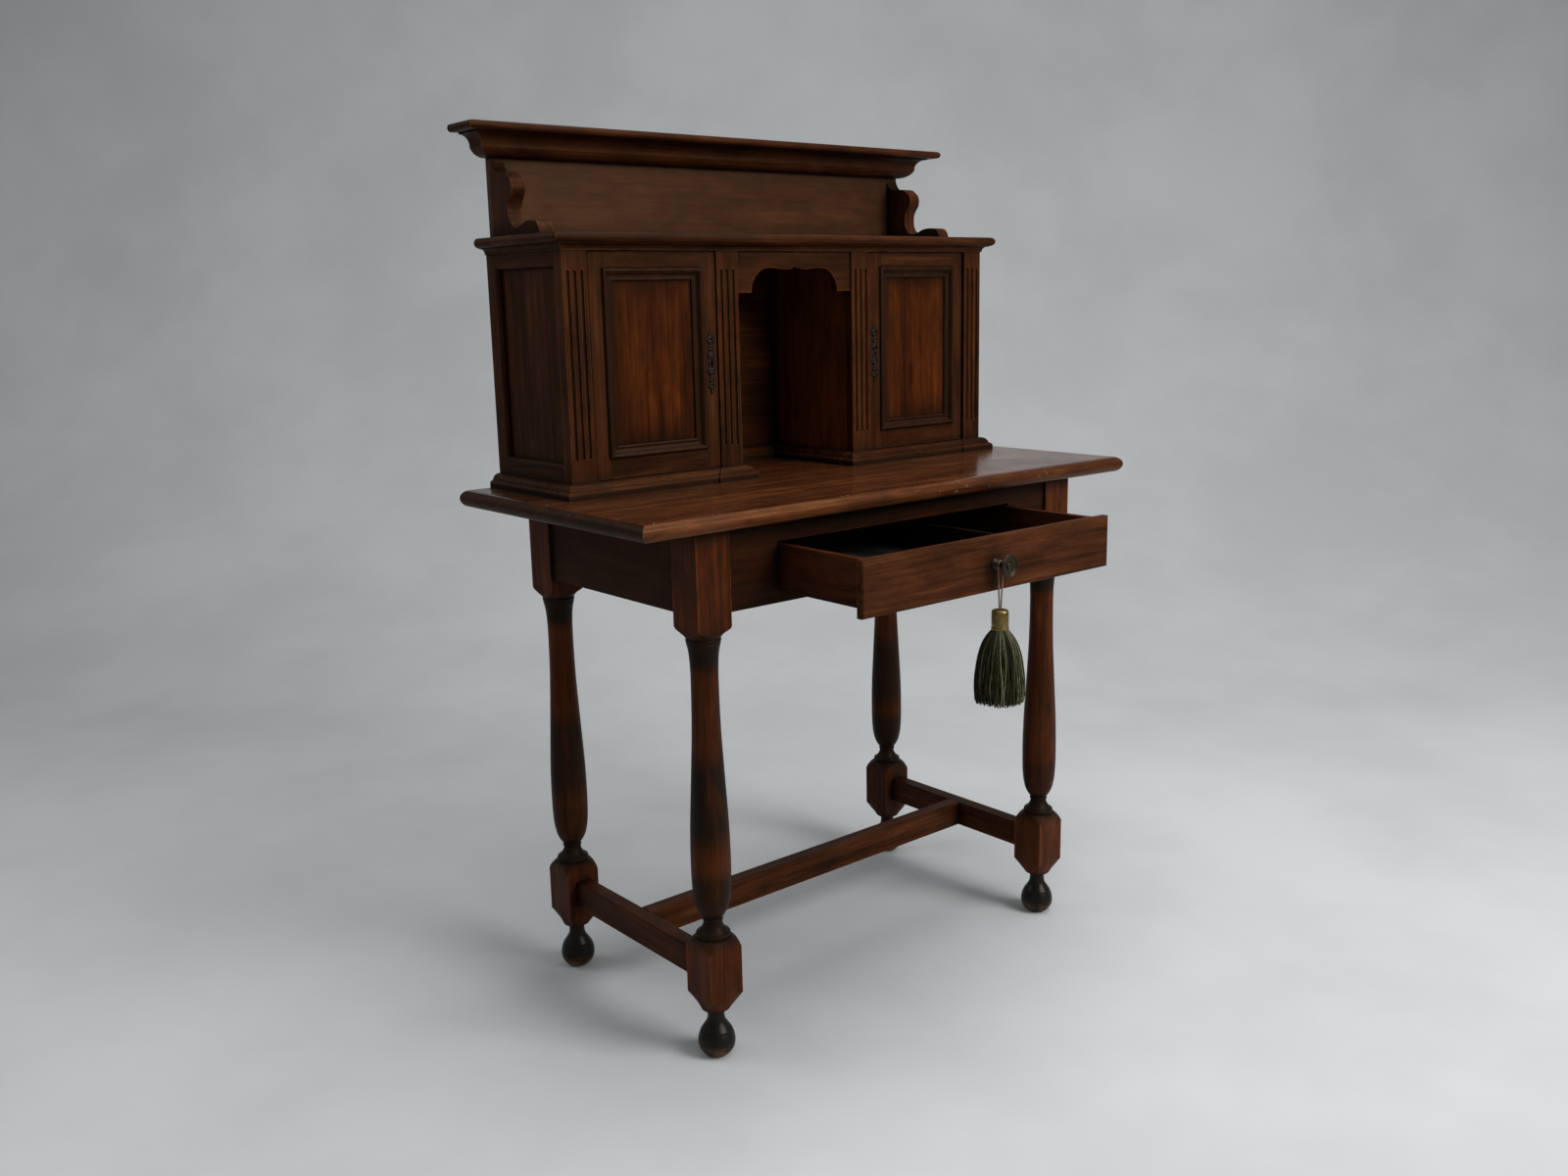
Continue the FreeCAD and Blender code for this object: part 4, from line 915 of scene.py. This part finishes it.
def drawer_knob():
    piece = lathe("drawer_knob_dished", KNOB_OUTLINE, on_drawer, KNOB_SIDES)
    set_material(piece, aged_brass)
    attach(piece, "drawer")
    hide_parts("drawer_knob")


drawer_knob()


# Keyhole escutcheons: cast plates with curls, ribs and a keyhole, in millimetres

PLATE_WIDTHS = through(
    [(0.0, 0.4), (2.2, 2.9), (4.6, 2.6), (6.6, 1.5), (9.0, 4.6), (11.7, 7.2), (14.4, 4.6), (16.6, 2.2),
     (19.0, 4.4), (21.2, 5.4), (23.4, 4.0), (25.2, 2.3), (27.6, 3.6), (30.0, 5.6), (33.0, 6.4), (36.0, 5.2),
     (38.5, 4.4), (41.0, 5.0), (44.0, 5.6), (47.0, 5.0), (49.5, 4.4), (52.5, 5.4), (55.5, 6.4), (58.5, 4.6),
     (60.8, 2.4), (63.0, 4.2), (65.4, 5.4), (67.6, 4.2), (69.6, 2.2), (72.0, 4.2), (75.0, 6.6), (77.8, 8.3),
     (80.6, 5.4), (83.0, 2.6), (85.4, 3.6), (87.6, 3.2), (89.0, 1.8), (90.0, 0.3)])
PLATE_RIBS = (9.0, 14.4, 19.0, 23.4, 30.0, 34.5, 54.0, 57.5, 63.0, 67.6, 74.0, 80.0)
LOW_CURL, HIGH_CURL = 11.7, 77.8
RIB_SPREAD, CURL_SPREAD = 1.3, 3.0
PLATE_EDGE, PLATE_DOME, RIB_HEIGHT, CURL_HEIGHT = 0.7, 0.95, 0.55, 0.5
PLATE_COLUMNS = 12
PLATE_SHARP = 50.0
KEYHOLE_RISE, KEYHOLE_RADIUS = 44.0, 2.2
KEYHOLE_SLOT_HALF, KEYHOLE_SLOT_DROP = 1.1, 6.0
KEYHOLE_ARC_START, KEYHOLE_ARC = -60.0, 300.0
KEYHOLE_SIDES = 20
CUTTER_FRONT, CUTTER_BACK = -0.02, 0.001


def keyhole_cutter(x, y, z):
    ring = []
    for s in range(KEYHOLE_SIDES + 1):
        angle = math.radians(KEYHOLE_ARC_START + KEYHOLE_ARC * s / KEYHOLE_SIDES)
        ring.append((x + KEYHOLE_RADIUS * MM * math.cos(angle),
                     z + KEYHOLE_RADIUS * MM * math.sin(angle)))
    for slot_side in (-KEYHOLE_SLOT_HALF, KEYHOLE_SLOT_HALF):
        ring.append((x + slot_side * MM, z - KEYHOLE_SLOT_DROP * MM))
    rings = [[(px, y + reach, pz) for px, pz in ring] for reach in (CUTTER_FRONT, CUTTER_BACK)]
    return mesh_piece("keyhole_cutter", *skin(rings))


def bump_at(rise, level, spread):
    return math.exp(-((rise - level) / spread) ** 2)


def escutcheon(side):
    node = "door_escutcheon_" + side
    low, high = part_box(node)
    x, back, bottom = (low.x + high.x) / 2, high.y, low.z
    rings = []
    for rise, width in PLATE_WIDTHS:
        rib = sum(bump_at(rise, level, RIB_SPREAD) for level in PLATE_RIBS)
        curl = bump_at(rise, LOW_CURL, CURL_SPREAD) + bump_at(rise, HIGH_CURL, CURL_SPREAD)
        front, rear = [], []
        for column in range(PLATE_COLUMNS + 1):
            s = column / PLATE_COLUMNS * 2 - 1
            dome = max(0.0, 1 - s * s) ** 0.5
            thick = PLATE_EDGE + (PLATE_DOME + RIB_HEIGHT * rib + CURL_HEIGHT * curl * s * s) * dome
            px = x + s * width * MM
            front.append((px, back - thick * MM, bottom + rise * MM))
            rear.append((px, back, bottom + rise * MM))
        rings.append(front + rear[::-1])
    plate = mesh_piece("escutcheon_cast_" + side, *skin(rings), sharp=PLATE_SHARP)
    cutter = keyhole_cutter(x, back, bottom + KEYHOLE_RISE * MM)
    cut = plate.modifiers.new("keyhole", "BOOLEAN")
    cut.object = cutter
    cut.operation = "DIFFERENCE"
    cut.solver = "EXACT"
    keep_modified(plate, cut)
    bpy.data.objects.remove(cutter)
    set_material(plate, plate_bronze)
    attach(plate, "door_" + side)
    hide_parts(node)


for door_side in SIDES:
    escutcheon(door_side)


# Finishes of the solids, by the start of their names; the others have plain wood with its grain across

FINISHES = {
    "door_panel": panel_wood, "door_frame": door_wood, "side_frame": side_wood, "partition": niche_wood,
    "door_moulding": moulding_wood, "door_pivots": aged_brass, "door_lock": lock_steel,
    "drawer_lining": lining_material(), "drawer_front": drawer_wood, "drawer_divider": divider_wood,
    "drawer_back": inner_across, "drawer_bottom": inner_across, "drawer_side": inner_back,
    "drawer_runner": inner_back, "crown_panel": crown_wood, "writing_board": board_wood,
    "pilaster": wood_up, "side_panel": wood_up, "bracket": wood_up, "apron_front": front_apron_wood,
    "apron_left": apron_wood, "apron_right": apron_wood, "stretcher_middle": stretcher_wood,
    "stretcher_left": wood_back, "stretcher_right": wood_back}


def finish_of(name):
    for stem, finish in FINISHES.items():
        if name.startswith(stem):
            return finish[name.rsplit("_", 1)[-1]] if isinstance(finish, dict) else finish
    return wood_across


for node_name, node_object in nodes.items():
    set_material(node_object, finish_of(node_name))


# Stage: a pale grey floor that sweeps up into a backdrop, under soft light

SWEEP_NEAR, SWEEP_TURN, SWEEP_RADIUS = -6.0, 1.3, 2.4
SWEEP_STEPS = 32
SWEEP_TOP, SWEEP_HALF_WIDTH = 7.0, 9.0
PAPER_DARK, PAPER_LIGHT = (0.5, 0.51, 0.515), (0.56, 0.57, 0.575)
PAPER_SCALE, PAPER_ROUGHNESS, PAPER_SHEEN = 1.6, 0.8, 0.2
WORLD_TONE, WORLD_STRENGTH = (0.78, 0.8, 0.82), 0.32


def paper_material():
    material, build, surface = new_material("studio_paper")
    mottle = build.noise(build.object_place(), PAPER_SCALE, rough=0.6)
    tone = build.mix(build.ramp(mottle, 0.3, 0.7), shade(PAPER_DARK), shade(PAPER_LIGHT))
    build.feed(surface.inputs["Base Color"], tone)
    surface.inputs["Roughness"].default_value = PAPER_ROUGHNESS
    surface.inputs["Specular IOR Level"].default_value = PAPER_SHEEN
    return material


def sweep_stage():
    reach = [(SWEEP_NEAR, 0.0)]
    for step in range(SWEEP_STEPS + 1):
        angle = math.pi / 2 * step / SWEEP_STEPS
        reach.append((SWEEP_TURN + SWEEP_RADIUS * math.sin(angle), SWEEP_RADIUS * (1 - math.cos(angle))))
    reach.append((SWEEP_TURN + SWEEP_RADIUS, SWEEP_TOP))
    ahead = Vector((math.sin(CAMERA_YAW), math.cos(CAMERA_YAW), 0.0))
    aside = Vector((ahead.y, -ahead.x, 0.0)) * SWEEP_HALF_WIDTH
    points = []
    for depth, height in reach:
        middle = ahead * depth + Vector((0.0, 0.0, height))
        points += [tuple(middle - aside), tuple(middle + aside)]
    faces = [(r * 2, r * 2 + 1, r * 2 + 3, r * 2 + 2) for r in range(len(reach) - 1)]
    mesh = bpy.data.meshes.new("studio_sweep")
    mesh.from_pydata(points, [], faces)
    mesh.shade_smooth()
    mesh.materials.append(paper_material())
    sweep = bpy.data.objects.new("studio_sweep", mesh)
    scene.collection.objects.link(sweep)


def soft_lamp(name, place, target, size, power):
    lamp = bpy.data.lights.new(name, "AREA")
    lamp.shape = "DISK"
    lamp.size = size
    lamp.energy = power
    holder = bpy.data.objects.new(name, lamp)
    holder.location = place
    holder.rotation_euler = (Vector(target) - Vector(place)).to_track_quat("-Z", "Y").to_euler()
    scene.collection.objects.link(holder)


def studio_world():
    world = bpy.data.worlds.new("studio_world")
    scene.world = world
    world.use_nodes = True
    backdrop = world.node_tree.nodes["Background"]
    backdrop.inputs["Color"].default_value = shade(WORLD_TONE)
    backdrop.inputs["Strength"].default_value = WORLD_STRENGTH


sweep_stage()
studio_world()
soft_lamp("front_right_softbox", place=(0.95, -2.9, 2.3), target=(0.0, 0.0, 0.8), size=1.8, power=98.0)
soft_lamp("back_fill", place=(-2.2, 1.9, 2.5), target=(0.0, 0.2, 0.8), size=1.6, power=16.0)
soft_lamp("top_softbox", place=(0.2, -0.4, 3.2), target=(0.0, 0.0, 0.6), size=2.2, power=55.0)
